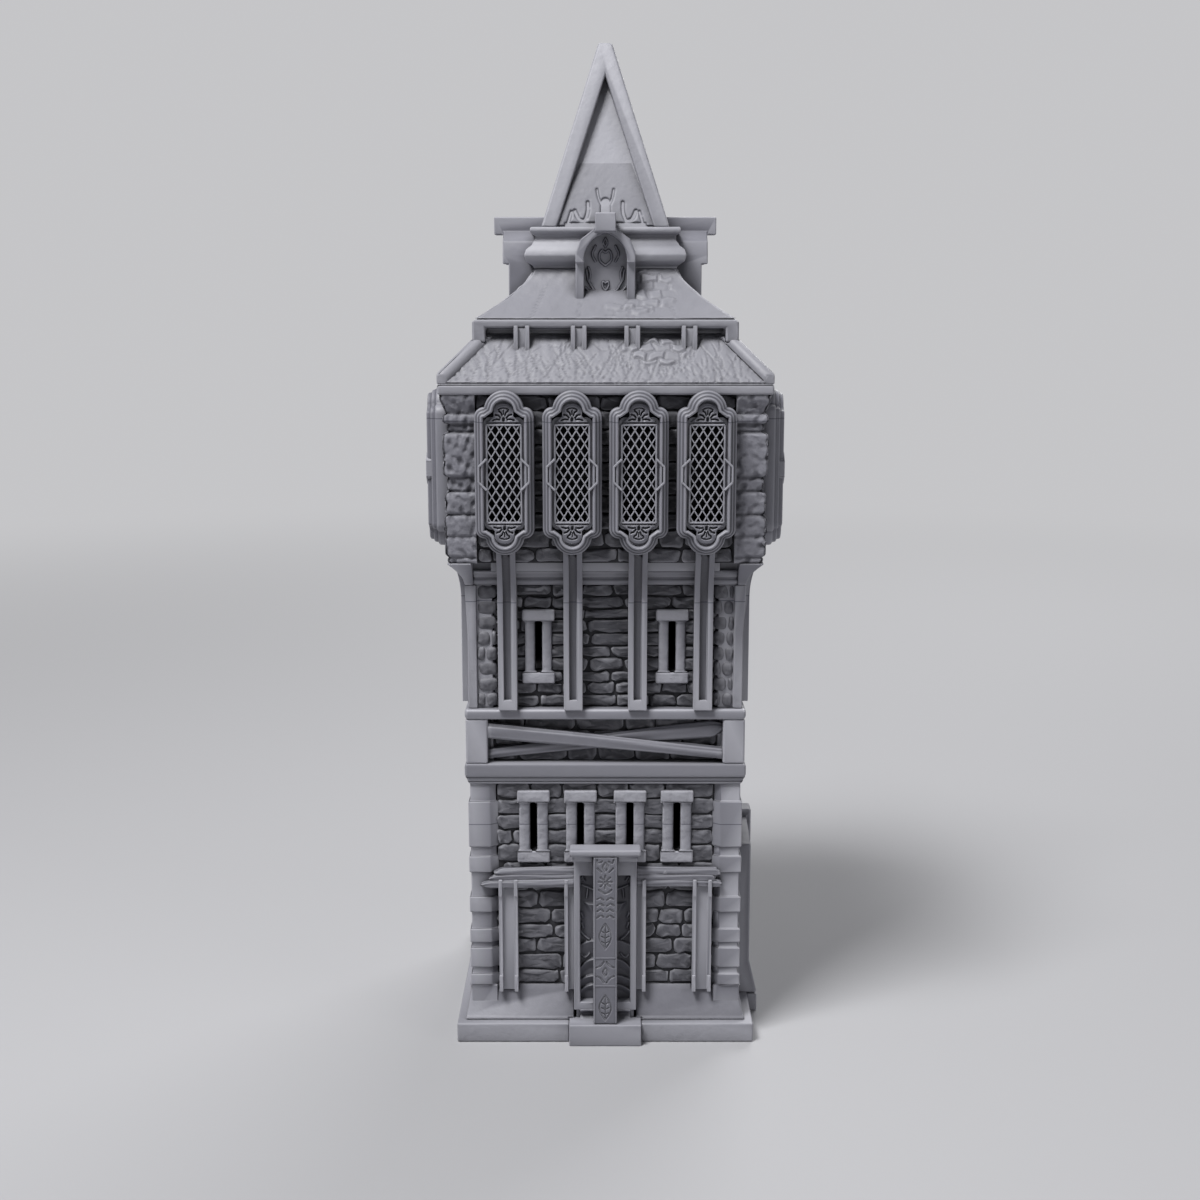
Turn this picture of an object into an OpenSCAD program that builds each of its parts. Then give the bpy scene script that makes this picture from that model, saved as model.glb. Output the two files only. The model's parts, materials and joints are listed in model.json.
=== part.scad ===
// Tabletop model of a square gothic watchtower: a hollow masonry tower on a base slab,
// with timber bands, an overhanging storey of tall lattice windows, two roofs and a spire.
// Millimetres, +Z up, origin at the centre of the underside of the base.

/* [Base] */
// Half the width of the base slab
base_half = 40; // [39:0.5:42]
// Height of the base slab
base_h = 5.4; // [5:0.1:5.8]
// Height of the sloping skirt that stands on the slab
batter_h = 9.5; // [9:0.1:10]

/* [Storeys] */
// Height of the ground storey above the skirt
ground_h = 56.7; // [56:0.1:58]
// Height of the timber band above the ground storey
low_band_h = 5.5; // [5:0.1:6]
// Height of the braced storey
brace_h = 12.2; // [11:0.1:13]
// Height of the timber band above the braced storey
high_band_h = 2.7; // [2.4:0.1:3]
// Height of the middle storey, up to its top rail
mid_h = 33; // [32:0.1:34]
// Height of the top rail
rail_h = 4; // [3.8:0.1:4.2]
// Height of the overhanging storey, from floor to eave
upper_h = 43.1; // [43:0.1:44]

/* [Walls] */
// Thickness of every wall
wall_t = 3; // [2.6:0.1:3.2]
// Distance from the axis to the face of the ground storey
ground_face = 34.8; // [34.6:0.1:35]
// Distance from the axis to the face of the middle storey
mid_face = 33.6; // [33.4:0.1:33.8]
// Distance from the axis to the face of the overhanging storey
upper_face = 39; // [38.8:0.1:39.2]
// Width of an arrow slit
slit_w = 1.9; // [1.6:0.1:2.2]

/* [Tall windows] */
// Distance from the middle of a face to the inner and to the outer windows
window_xs = [8.4, 25.5];
// Half the outer width of a window frame
window_half = 7.5; // [7.2:0.1:7.7]
// Distance from the axis to the front of a window frame
window_front = 46.4; // [46:0.1:47]
// Height of the frame's lowest point above the floor of its storey
window_sill = 2.7; // [2.5:0.1:3]
// Height of a window frame from lobe to lobe
window_h = 41.6; // [41:0.1:41.8]

/* [Roofs] */
// Height of the eave board
fascia_h = 2.6; // [2.4:0.1:3]
// Half width of the lower roof at the eave
eave_half = 42.3; // [42:0.1:42.5]
// Height of the lower roof, which slopes at 45 degrees
low_roof_h = 12.1; // [11.8:0.1:12.4]
// Half width of the upper eave
high_eave_half = 33.9; // [33.6:0.1:34.2]
// Height of the hollow-curved upper roof
concave_h = 13; // [12.5:0.1:13.5]
// Half width of the neck at the top of the upper roof
neck_half = 18.6; // [18.4:0.1:18.8]
// Height of the cornice between the upper roof and the spire
cornice_h = 10.7; // [10.4:0.1:11]
// Half width of the foot of the spire
spire_half = 16.8; // [16.6:0.1:17]
// Height of the spire
spire_h = 48.2; // [46:0.2:50]

/* [Hidden] */

$fn = 48;
stone_grey = [0.60, 0.60, 0.65];
timber_grey = [0.66, 0.66, 0.70];
carved_grey = [0.64, 0.64, 0.69];
roof_grey = [0.68, 0.68, 0.72];

// Half of a length that is longer than the whole tower is wide
reach = 60;
// Overrun that lets a cut pass cleanly through a face
overrun = 0.01;
all_sides = [0, 90, 180, 270];
front = 0;
right = 90;
back = 180;
left = 270;

// Heights of the floors and bands
z_ground = base_h + batter_h;
z_low_band = z_ground + ground_h;
z_brace = z_low_band + low_band_h;
z_high_band = z_brace + brace_h;
z_mid = z_high_band + high_band_h;
z_rail = z_mid + mid_h;
z_floor = z_rail + rail_h;
floor_t = 2.3;
z_upper = z_floor + floor_t;
z_eave = z_upper + upper_h;
z_roof = z_eave + fascia_h;
z_neck = z_roof + low_roof_h;
neck_h = 1.6;
z_high_eave = z_neck + neck_h;
high_eave_h = 2;
z_concave = z_high_eave + high_eave_h;
z_cornice = z_concave + concave_h;
z_spire = z_cornice + cornice_h;
z_tip = z_spire + spire_h;

// Ground storey
ground_in = ground_face - wall_t;
pier_in = 29.2;
pier_half = 35.9;
skirt_half = 37.8;
skirt_top_half = 35.2;
block_half = 36.4;
foot_half = 36.3;
pier_chamfer = 1.4;
shaft_lap = 0.3;
block_lap = 0.8;
block_heights = [[0, 3.1], [5.1, 10.6], [12.2, 16], [20.8, 25.1], [32, 36.5], [39.1, 51.7]];
slit_xs = [-19.1, -6.6, 6.6, 19.1];
slit_foot = 38;
slit_h = 13.5;
jamb_w = 2.9;
jamb_out = 1.4;
slit_lintel = [8.7, 3.2];
lintel_out = 1.8;

// Grooved posts and the hewn beam of the ground storey
post_xs = [8.4, 26];
post_w = 5.1;
post_face = 37.5;
post_foot = z_ground - 1.3;
post_top = z_ground + 30.3;
post_flange = 1;
post_web = 36.3;
collar_out = 0.5;
collar_h = 4.6;
beam_z = [z_ground + 28.3, z_ground + 33.7];
beam_face = 37.1;

// Carved portal on the front
step_half = 9.7;
step_h = 6;
step_face = 42.6;
step_back = 37;
portal_half = 8.4;
portal_post_in = 6.7;
portal_foot_half = 7.8;
portal_face = 38.4;
portal_top = z_ground + 36.4;
portal_rail_h = 4.6;
portal_sill = [8.5, 10.8];
panel_face = 35.8;
centre_half = 3.15;
centre_face = 41.6;
cap_half = 9.5;
tier_half = 8.7;
tier_h = 1.9;
tier_face = 41;
cap_h = 1.8;
cap_face = 42.2;
cap_back = ground_face + lintel_out;

// Arched doorway on the right
door_half = 13;
door_spring = 41;
surround_half = 19.8;
surround_spring = 49;
surround_rise = 3.2;
surround_face = 40.5;
keystone_half = 3.2;
keystone_face = 41.9;
keystone_top = 54;
surround_foot = [42.8, 15];
door_step_face = 42.8;
door_step_h = 5;
leaf_d = [35.4, 37.4];

// Bands and the braced storey
band_in = 29;
low_band_face = 37.2;
low_lip_face = 36.5;
low_lip_h = 1.9;
high_band_face = 37;
brace_face = 33;
brace_column_in = 29.6;
brace_post_in = 31;
brace_post_half = 36.8;
log_r = 1.9;
front_log = [[-33, 9], [33, 2.4]];
back_log = [[-33, 2], [33, 9.6]];
front_log_out = 35.1;
back_log_out = 34.2;

// Middle storey
mid_in = mid_face - wall_t;
column_in = 29.5;
column_half = 35;
corner_post_in = 33.6;
corner_post_half = 36;
corner_post_top = 36.6;
corner_post_bend = 0.6;
mid_slit_x = 17.5;
mid_slit_foot = 9.6;
mid_slit_h = 13.7;
mid_jamb_w = 2.6;
mid_lintel = [8.6, 3];
mid_lintel_out = 2;
rail_half = 34.3;
rail_face = 36.9;

// Channel posts, which curve out to carry the tall windows
channel_w = 4.9;
channel_face = 38.2;
channel_groove = 2;
channel_depth = 1.2;
channel_solid = 2.7;
channel_bend = z_rail - 4.3;
channel_top_out = 43.8;
channel_top = z_upper + 6;
bend_steps = 10;

// Overhanging storey
upper_in = upper_face - wall_t;
floor_half = 38;
upper_pier_in = 33;
corbel_half = 40.8;
corbel_steps = 8;
pier_cap = 38.3;
quoins = [[0, 1.8, 40.8], [1.8, 7, 41], [7, 12.6, 41.1], [12.6, 18.5, 41], [18.5, 22.4, 40.5],
          [22.4, 33.5, 41.2], [33.5, 35.8, 40.5], [35.8, pier_cap, 41.2]];
bracket_foot = 40.6;
bracket_half = 42;

// Tall windows
window_low = z_upper + window_sill;
window_top = window_low + window_h;
lobe_r = 4.95;
shoulder_r = 2.45;
shoulder_drop = 4.25;
frame_steps = [[0, 43.8], [0.8, 45.1], [1.6, window_front]];
opening_inset = 2.4;
panel_d = [43.2, 44];
grille_half = [4.1, 12.1];
wall_opening_half = [4.8, 13.2];
tympanum_hole_r = 1.5;

// Roofs
fascia_in = 36;
shell_t = 3;
low_roof_top = eave_half - low_roof_h;
hip_r = 1.9;
hip_overrun = 2;
hip_top = z_neck - 0.4;
roof_post_xs = [6.8, 21.3];
roof_post_w = 4;
roof_post_face = 34.6;
roof_groove_half = 0.9;
roof_groove_face = 33.7;
roof_post_top = z_high_eave + 0.7;
roof_post_foot = z_neck - 6;
eave_corner = 3.4;
eave_drop = 3.6;
concave_shell = 2.5;
concave_steps = 8;
concave_lip = 0.6;
cornice_in = 12.9;

// Dormers
dormer_half = 7.7;
dormer_in = 5.5;
dormer_face = 25.8;
dormer_back = 14;
arch_face = 27.4;
arch_foot = z_cornice + 1.4;
dormer_spring = z_cornice + 2;
dormer_shoulder = [[7.7, z_cornice + 3.8], [6.3, z_cornice + 7.4], [2.65, z_cornice + 10.1]];
dormer_foot = z_concave + 2;
arch_offset = 1.5;
dormer_panel_d = [21.6, 22.8];
key_half = 2.65;
key_face = 29.9;
key_z = [z_cornice + 9.2, z_cornice + 13.9];

// Spire
spire_face_half = 15.4;
spire_face_h = 43;
spire_inner_half = 13;
spire_inner_h = 36.5;
spire_tip_half = 1.8;
ridge_w = 4.1;
ridge_gap_h = 39.4;

// Repeats its children on the named faces; the front face looks along -Y
module around(turns = all_sides) {
    for (turn = turns)
        rotate([0, 0, turn]) children();
}

// A box on the front face, from ranges across, out from the axis and up
module face_box(across, out, up) {
    translate([across[0], -out[1], up[0]])
        cube([across[1] - across[0], out[1] - out[0], up[1] - up[0]]);
}

// An outline drawn on the front face, made solid between two distances from the axis
module face_plate(out) {
    translate([0, -out[0], 0])
        rotate([90, 0, 0])
            linear_extrude(height = out[1] - out[0]) children();
}

// A profile of [distance from the axis, height] points, carried across the front face
module face_profile(points, across) {
    translate([across[0], 0, 0])
        rotate([90, 0, 90])
            linear_extrude(height = across[1] - across[0])
                polygon([for (p = points) [-p[0], p[1]]]);
}

// A solid with the same profile of [half width, height] points on all four faces
module mitred(profile) {
    last = len(profile) - 1;
    mirror_half = [for (i = [last:-1:0]) if (profile[i][0] > 0) [-profile[i][0], profile[i][1]]];
    intersection() {
        rotate([90, 0, 0])
            linear_extrude(height = 2 * reach, center = true) polygon(concat(profile, mirror_half));
        rotate([90, 0, 90])
            linear_extrude(height = 2 * reach, center = true) polygon(concat(profile, mirror_half));
    }
}

// A square column in each corner, between two distances from the axis
module corner_column(low, high, up) {
    translate([low, low, up[0]])
        cube([high - low, high - low, up[1] - up[0]]);
}

// A square block around the axis
module core(half, up) {
    translate([-half, -half, up[0]])
        cube([2 * half, 2 * half, up[1] - up[0]]);
}

// ---- Base ----

module step_block() {
    face_box([-step_half, step_half], [step_back, step_face], [0, step_h]);
}

module plinth_slab() {
    color(stone_grey)
        difference() {
            core(base_half, [0, base_h]);
            step_block();
        }
}

module plinth_batter() {
    skirt = [[skirt_half, base_h], [skirt_half, base_h + 0.7],
             [skirt_half - 0.5, base_h + 1.2], [skirt_top_half, z_ground]];
    color(stone_grey)
        difference() {
            mitred(skirt);
            core(ground_face, [0, z_mid]);
            around() corner_column(pier_in, foot_half, [0, z_mid]);
            step_block();
            face_box([-portal_half, portal_half], [0, reach], [0, z_mid]);
            around([front, back]) grooved_posts_on_face();
            around([right])
                face_box([-surround_half, surround_half], [0, reach], [0, z_mid]);
        }
}

// ---- Ground storey ----

module ground_wall(door = false) {
    slit_z = z_ground + slit_foot;
    difference() {
        face_box([-pier_in, pier_in], [ground_in, ground_face], [base_h, z_low_band]);
        for (x = slit_xs)
            face_box([x - slit_w / 2, x + slit_w / 2], [0, reach], [slit_z, slit_z + slit_h]);
        if (door)
            face_box([-door_half, door_half], [0, reach], [0, door_spring]);
    }
}

module ground_walls() {
    color(stone_grey) {
        around([front, back, left]) ground_wall();
        around([right]) ground_wall(door = true);
    }
}

// Plan of a pier: an angle around the corner of the walls, with a chamfered return on each face
module pier_plan(half, lap) {
    polygon([
        [ground_in, ground_in], [pier_in, ground_in], [pier_in, ground_face],
        [pier_in - lap, ground_face], [pier_in + pier_chamfer, half], [half, half],
        [half, pier_in + pier_chamfer], [ground_face, pier_in - lap], [ground_face, pier_in],
        [ground_in, pier_in]
    ]);
}

module corner_piers() {
    color(timber_grey)
        around() {
            translate([0, 0, z_ground])
                linear_extrude(height = ground_h) pier_plan(pier_half, shaft_lap);
            difference() {
                corner_column(pier_in, foot_half, [base_h, z_ground]);
                core(ground_in, [0, z_mid]);
            }
            for (block = block_heights)
                translate([0, 0, z_ground + block[0]])
                    linear_extrude(height = block[1] - block[0]) pier_plan(block_half, block_lap);
        }
}

// A post with a flange at each side of a recessed web, and a collar at each end
module grooved_post() {
    half = post_w / 2;
    face_box([-half, half], [ground_face, post_web], [post_foot, post_top]);
    for (side = [-half, half - post_flange])
        face_box([side, side + post_flange], [ground_face, post_face], [post_foot, post_top]);
    for (z = [post_foot, post_top - collar_h])
        for (side = [-half, half - post_flange])
            face_box([side, side + post_flange], [ground_face, post_face + collar_out],
                     [z, z + collar_h]);
}

module grooved_posts_on_face() {
    for (x = post_xs)
        for (side = [-1, 1])
            translate([side * x, 0, 0]) grooved_post();
}

module grooved_posts() {
    color(timber_grey) {
        difference() {
            grooved_posts_on_face();
            face_box([-portal_half, portal_half], [0, reach], [0, z_mid]);
        }
        around([back]) grooved_posts_on_face();
    }
}

module lintel_beam(across) {
    difference() {
        face_box(across, [ground_face, beam_face], beam_z);
        grooved_posts_on_face();
    }
}

module lintel_beams() {
    pier_return = pier_in - block_lap;
    color(timber_grey) {
        lintel_beam([-pier_return, -portal_half]);
        lintel_beam([portal_half, pier_return]);
        around([back]) lintel_beam([-pier_return, pier_return]);
    }
}

// Two jambs with a lintel and a sill around an arrow slit that starts at height z
module slit_surround(face, jamb, block, out, z, h) {
    half = slit_w / 2;
    for (side = [-1, 1])
        translate([side * (half + jamb / 2), 0, 0])
            face_box([-jamb / 2, jamb / 2], [face, face + jamb_out], [z, z + h]);
    for (foot = [z - block[1], z + h])
        face_box([-block[0] / 2, block[0] / 2], [face, face + out], [foot, foot + block[1]]);
}

module ground_window_surrounds() {
    color(stone_grey)
        around()
            for (x = slit_xs)
                translate([x, 0, 0])
                    slit_surround(ground_face, jamb_w, slit_lintel, lintel_out,
                                  z_ground + slit_foot, slit_h);
}

// ---- Carved portal ----

module portal_step() {
    color(stone_grey) step_block();
}

module portal_frame() {
    color(carved_grey)
        for (side = [0, 1])
            mirror([side, 0, 0]) {
                face_box([portal_post_in, portal_half], [ground_face, portal_face],
                         [portal_sill[0], portal_top]);
                face_box([portal_post_in, portal_foot_half], [ground_face, step_back],
                         [base_h, portal_sill[0]]);
                face_box([centre_half, portal_post_in], [ground_face, portal_face], portal_sill);
                face_box([centre_half, portal_post_in], [ground_face, portal_face],
                         [portal_top - portal_rail_h, portal_top]);
            }
}

module portal_panel() {
    color(carved_grey) {
        face_box([-portal_post_in, portal_post_in], [ground_face, panel_face],
                 [portal_sill[1], portal_top - portal_rail_h]);
    }
}

module portal_centre_post() {
    color(carved_grey)
        difference() {
            face_box([-centre_half, centre_half], [ground_face, centre_face],
                     [step_h, portal_top + tier_h]);
            face_box([-portal_post_in, portal_post_in], [0, panel_face],
                     [portal_sill[1], portal_top - portal_rail_h]);
            face_box([-reach, reach], [0, cap_back],
                     [portal_top - slit_lintel[1], z_mid]);
        }
}

module portal_cap() {
    cap_z = portal_top + tier_h;
    color(carved_grey) {
        face_box([-cap_half, cap_half], [cap_back, cap_face], [cap_z, cap_z + cap_h]);
        for (side = [0, 1])
            mirror([side, 0, 0])
                face_box([centre_half, tier_half], [cap_back, tier_face],
                         [portal_top, cap_z]);
    }
}

// ---- Arched doorway on the right ----

// An opening with a shallow arched head, from the ground to its springing and rise
module arched_outline(half, spring, rise) {
    radius = (half * half + rise * rise) / (2 * rise);
    union() {
        translate([-half, 0]) square([2 * half, spring]);
        intersection() {
            translate([0, spring + rise - radius]) circle(r = radius, $fn = 120);
            translate([-half, spring - 1]) square([2 * half, rise + 2]);
        }
    }
}

module door_surround() {
    foot = [[ground_face, base_h], [surround_foot[0], base_h],
            [surround_face, surround_foot[1]], [ground_face, surround_foot[1]]];
    color(stone_grey)
        around([right])
            difference() {
                union() {
                    face_plate([ground_face, surround_face])
                        difference() {
                            arched_outline(surround_half, surround_spring, surround_rise);
                            square([4 * surround_half, 2 * base_h], center = true);
                        }
                    face_box([-keystone_half, keystone_half], [ground_face, keystone_face],
                             [door_spring, keystone_top]);
                    face_profile(foot, [-surround_half, surround_half]);
                }
                face_plate([0, reach]) arched_outline(door_half, door_spring, surround_rise);
                face_box([-reach, reach], [0, cap_back],
                         [z_ground + slit_foot - slit_lintel[1], z_mid]);
            }
}

module door_leaf() {
    color(timber_grey)
        around([right])
            face_plate(leaf_d)
                difference() {
                    arched_outline(door_half, door_spring, surround_rise);
                    square([4 * door_half, 2 * base_h], center = true);
                }
}

module door_step() {
    color(stone_grey)
        around([right])
            face_box([-surround_half, surround_half], [base_half, door_step_face],
                     [0, door_step_h]);
}

// ---- Bands and braced storey ----

module lower_band() {
    moulding = [[low_lip_face, z_low_band], [low_lip_face, z_low_band + low_lip_h - 0.6],
                [low_band_face, z_low_band + low_lip_h], [low_band_face, z_brace]];
    color(timber_grey)
        difference() {
            mitred(moulding);
            core(band_in, [0, z_mid]);
        }
}

module brace_walls() {
    color(stone_grey)
        around()
            face_box([-brace_column_in, brace_column_in], [brace_face - wall_t, brace_face],
                     [z_brace, z_high_band]);
}

module brace_posts() {
    color(timber_grey)
        around() {
            corner_column(brace_column_in, brace_face, [z_brace, z_high_band]);
            corner_column(brace_post_in, brace_post_half, [z_brace, z_high_band]);
        }
}

// A round log lying on the front face between two points given as [across, up]
module log(ends, out) {
    run = ends[1] - ends[0];
    translate([ends[0][0], -out, z_brace + ends[0][1]])
        rotate([0, atan2(run[0], run[1]), 0])
            cylinder(r = log_r, h = norm(run), $fn = 24);
}

module cross_braces() {
    color(timber_grey)
        around()
            intersection() {
                union() {
                    log(front_log, front_log_out);
                    log(back_log, back_log_out);
                }
                face_box([-brace_post_in, brace_post_in], [brace_face, reach],
                         [z_brace, z_high_band]);
            }
}

module upper_band() {
    color(timber_grey)
        difference() {
            core(high_band_face, [z_high_band, z_mid]);
            core(band_in, [0, z_rail]);
        }
}

module middle_floor() {
    color(timber_grey) core(band_in, [z_high_band, z_mid]);
}

// ---- Middle storey ----

module middle_walls() {
    z = z_mid + mid_slit_foot;
    color(stone_grey)
        around()
            difference() {
                face_box([-column_in, column_in], [mid_in, mid_face], [z_mid, z_floor]);
                for (side = [-1, 1])
                    translate([side * mid_slit_x, 0, 0])
                        face_box([-slit_w / 2, slit_w / 2], [0, reach], [z, z + mid_slit_h]);
            }
}

module middle_corner_posts() {
    bend = z_mid + corner_post_bend * mid_h;
    color(stone_grey)
        around() {
            corner_column(column_in, column_half, [z_mid, z_rail]);
            intersection() {
                mitred([[corner_post_half, z_mid], [corner_post_half, bend],
                        [corner_post_top, z_rail]]);
                corner_column(corner_post_in, reach, [z_mid, z_rail]);
            }
        }
}

// Front edge of a channel post, set back by a depth, from a foot height up through the bend
function channel_edge(depth, foot, steps) = concat(
    [[channel_face - depth, foot]],
    [for (i = [0:steps])
        let (t = i / bend_steps)
            [channel_face - depth + (channel_top_out - channel_face) * (1 - cos(90 * t)),
             channel_bend + (channel_top - channel_bend) * t]]
);

module channel_post() {
    body = concat(channel_edge(0, z_mid, bend_steps),
                  [[upper_face, channel_top], [upper_face, z_upper], [floor_half, z_upper],
                   [floor_half, z_floor], [rail_face, z_floor], [rail_face, z_rail],
                   [mid_face, z_rail], [mid_face, z_mid]]);
    groove = concat(channel_edge(channel_depth, z_mid + channel_solid, bend_steps + 1),
                    [[reach, channel_top + 2], [reach, z_mid + channel_solid]]);
    difference() {
        face_profile(body, [-channel_w / 2, channel_w / 2]);
        face_profile(groove, [-channel_groove / 2, channel_groove / 2]);
        face_plate([0, reach]) lobe_ends(0);
    }
}

module channel_posts() {
    color(timber_grey)
        around()
            for (x = window_xs)
                for (side = [-1, 1])
                    translate([side * x, 0, 0]) channel_post();
}

module middle_window_surrounds() {
    color(stone_grey)
        around()
            for (side = [-1, 1])
                translate([side * mid_slit_x, 0, 0])
                    slit_surround(mid_face, mid_jamb_w, mid_lintel, mid_lintel_out,
                                  z_mid + mid_slit_foot, mid_slit_h);
}

module top_rails() {
    bead = rail_h / 4;
    moulding = [[column_half, z_rail], [rail_face - 0.8, z_rail], [rail_face - 0.3, z_rail + bead],
                [rail_face - 0.8, z_rail + 2 * bead], [rail_face - 0.2, z_rail + 2.3 * bead],
                [rail_face, z_rail + 3 * bead], [rail_face, z_floor], [column_half, z_floor]];
    color(timber_grey)
        around() {
            face_box([-column_in, column_in], [mid_face, column_half], [z_rail, z_floor]);
            face_profile(moulding, [-rail_half, rail_half]);
        }
}

// Hollow curve under the corner piers, from the corner post out to the storey above
function corbel_curve() = [for (i = [0:corbel_steps])
    let (t = i / corbel_steps)
        [corner_post_top + (corbel_half - corner_post_top) * (1 - cos(90 * t)),
         z_rail + (z_upper - z_rail) * t]];

module corbels() {
    color(timber_grey)
        around()
            intersection() {
                mitred(corbel_curve());
                union() {
                    corner_column(column_in, column_half, [z_rail, z_upper]);
                    corner_column(rail_half, reach, [z_rail, z_upper]);
                }
            }
}

// ---- Overhanging storey ----

module upper_floor() {
    color(timber_grey)
        difference() {
            core(floor_half, [z_floor, z_upper]);
            around() corner_column(column_in, reach, [0, z_eave]);
        }
}

module upper_walls() {
    middle = (window_low + window_top) / 2;
    color(stone_grey)
        around()
            difference() {
                face_box([-upper_pier_in, upper_pier_in], [upper_in, upper_face],
                         [z_upper, z_eave]);
                for (x = window_xs)
                    for (side = [-1, 1])
                        translate([side * x, 0, middle])
                            face_box([-wall_opening_half[0], wall_opening_half[0]], [0, reach],
                                     [-wall_opening_half[1], wall_opening_half[1]]);
            }
}

module upper_corner_piers() {
    top = z_upper + pier_cap;
    color(stone_grey)
        around() {
            for (quoin = quoins)
                corner_column(upper_pier_in, quoin[2], [z_upper + quoin[0], z_upper + quoin[1]]);
            intersection() {
                mitred([[bracket_foot, top], [bracket_half, z_eave - 1], [bracket_half, z_eave]]);
                corner_column(upper_pier_in, reach, [top, z_eave]);
            }
        }
}

// The round lobes at the top and bottom of a window frame, set in by an inset
module lobe_ends(inset) {
    for (z = [window_low + lobe_r, window_top - lobe_r])
        translate([0, z]) circle(r = lobe_r - inset);
}

// Outline of a window: straight sides, rounded shoulders and a round lobe at each end
module window_outline(inset) {
    radius = shoulder_r - inset / 3;
    edge = window_half - inset;
    low = window_low + shoulder_drop + inset;
    high = window_top - shoulder_drop - inset;
    union() {
        lobe_ends(inset);
        translate([-edge, low + radius]) square([2 * edge, high - low - 2 * radius]);
        translate([-edge + radius, low]) square([2 * (edge - radius), high - low]);
        for (x = [-edge + radius, edge - radius])
            for (z = [low + radius, high - radius])
                translate([x, z]) circle(r = radius);
    }
}

module window_frame() {
    difference() {
        union() {
            face_plate([upper_face, eave_half])
                intersection() {
                    window_outline(0);
                    translate([-reach, 0]) square([2 * reach, z_eave]);
                }
            for (i = [0:2])
                face_plate([i == 0 ? eave_half : frame_steps[i - 1][1], frame_steps[i][1]])
                    window_outline(frame_steps[i][0]);
        }
        face_plate([0, reach]) window_outline(opening_inset);
    }
}

module window_frames(turn) {
    color(timber_grey)
        around([turn])
            for (x = window_xs)
                for (side = [-1, 1])
                    translate([side * x, 0, 0]) window_frame();
}

module front_window_frames() {
    window_frames(front);
}

module right_window_frames() {
    window_frames(right);
}

module back_window_frames() {
    window_frames(back);
}

module left_window_frames() {
    window_frames(left);
}

// The plate in a window, cut through for its grille and for the pierced ornament at each end
module window_panel() {
    middle = (window_low + window_top) / 2;
    face_plate(panel_d)
        difference() {
            window_outline(opening_inset);
            translate([0, middle]) square(2 * grille_half, center = true);
            for (end = [-1, 1])
                translate([0, middle + end * (window_h / 2 - lobe_r)])
                    circle(r = tympanum_hole_r);
        }
}

module window_panels() {
    color(carved_grey)
        around()
            for (x = window_xs)
                for (side = [-1, 1])
                    translate([side * x, 0, 0]) window_panel();
}

// ---- Roofs ----

module eave_fascia() {
    color(timber_grey)
        difference() {
            core(eave_half, [z_eave, z_roof]);
            core(fascia_in, [0, z_tip]);
        }
}

low_roof_outer = [[eave_half, z_roof], [low_roof_top, z_neck]];
low_roof_inner = [[eave_half - shell_t, z_roof - overrun], [low_roof_top - shell_t, z_neck + overrun]];

module lower_roof() {
    color(roof_grey)
        difference() {
            mitred(low_roof_outer);
            mitred(low_roof_inner);
        }
}

module hip_beams() {
    run = eave_half - low_roof_top;
    length = norm([run, run, low_roof_h]);
    color(timber_grey)
        around()
            difference() {
                intersection() {
                    translate([eave_half, eave_half, z_roof])
                        rotate([0, 0, 45])
                            rotate([0, -atan2(run * sqrt(2), low_roof_h), 0])
                                translate([0, 0, -hip_overrun])
                                    cylinder(r = hip_r, h = length + hip_overrun, $fn = 32);
                    corner_column(low_roof_top - hip_overrun, eave_half, [z_roof, hip_top]);
                }
                mitred(low_roof_outer);
                upper_eave_solid();
            }
}

module upper_eave_solid() {
    core(low_roof_top, [z_neck, z_concave]);
    core(high_eave_half, [z_high_eave, z_concave]);
    around()
        corner_column(high_eave_half - eave_corner, high_eave_half,
                      [z_concave - high_eave_h - eave_drop, z_concave]);
}

module roof_post() {
    half = roof_post_w / 2;
    difference() {
        face_box([-half, half], [low_roof_top - 1, roof_post_face],
                 [roof_post_foot, roof_post_top]);
        face_box([-roof_groove_half, roof_groove_half], [roof_groove_face, reach],
                 [roof_post_foot, z_tip]);
    }
}

module roof_posts() {
    color(timber_grey)
        difference() {
            around()
                for (x = roof_post_xs)
                    for (side = [-1, 1])
                        translate([side * x, 0, 0]) roof_post();
            mitred(low_roof_outer);
            upper_eave_solid();
        }
}

module upper_eave() {
    color(timber_grey)
        difference() {
            upper_eave_solid();
            mitred(low_roof_outer);
            core(low_roof_top - shell_t, [0, z_tip]);
        }
}

// Bell curve of the upper roof: steeper towards its neck
function bell(half, z) = [for (i = [0:concave_steps])
    let (t = i / concave_steps)
        [half + (high_eave_half - concave_lip - neck_half) * pow(1 - t, 1.5), z + concave_h * t]];

module concave_roof() {
    color(roof_grey)
        difference() {
            mitred(bell(neck_half, z_concave));
            mitred(bell(neck_half - concave_shell, z_concave));
        }
}

cornice_profile = [
    [neck_half, z_cornice], [neck_half + 0.2, z_cornice + 0.7], [neck_half + 2, z_cornice + 1.9],
    [neck_half + 2.5, z_cornice + 3.5], [neck_half + 2, z_cornice + 4.9],
    [neck_half + 0.6, z_cornice + 6.1], [neck_half - 0.2, z_cornice + 7.5],
    [neck_half - 0.2, z_cornice + 8.6], [neck_half + 0.8, z_cornice + 9.1],
    [neck_half + 1.1, z_cornice + 9.9], [neck_half + 0.8, z_spire]
];

module roof_cornice() {
    color(timber_grey)
        difference() {
            mitred(cornice_profile);
            core(cornice_in, [0, z_tip]);
        }
}

// ---- Dormers ----

// Pointed arch opening of a dormer
module dormer_opening() {
    radius = dormer_in + arch_offset;
    union() {
        translate([-dormer_in, dormer_foot])
            square([2 * dormer_in, dormer_spring - dormer_foot]);
        intersection() {
            translate([-arch_offset, dormer_spring]) circle(r = radius);
            translate([arch_offset, dormer_spring]) circle(r = radius);
            translate([-reach, dormer_spring - 0.5]) square([2 * reach, reach]);
        }
    }
}

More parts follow.
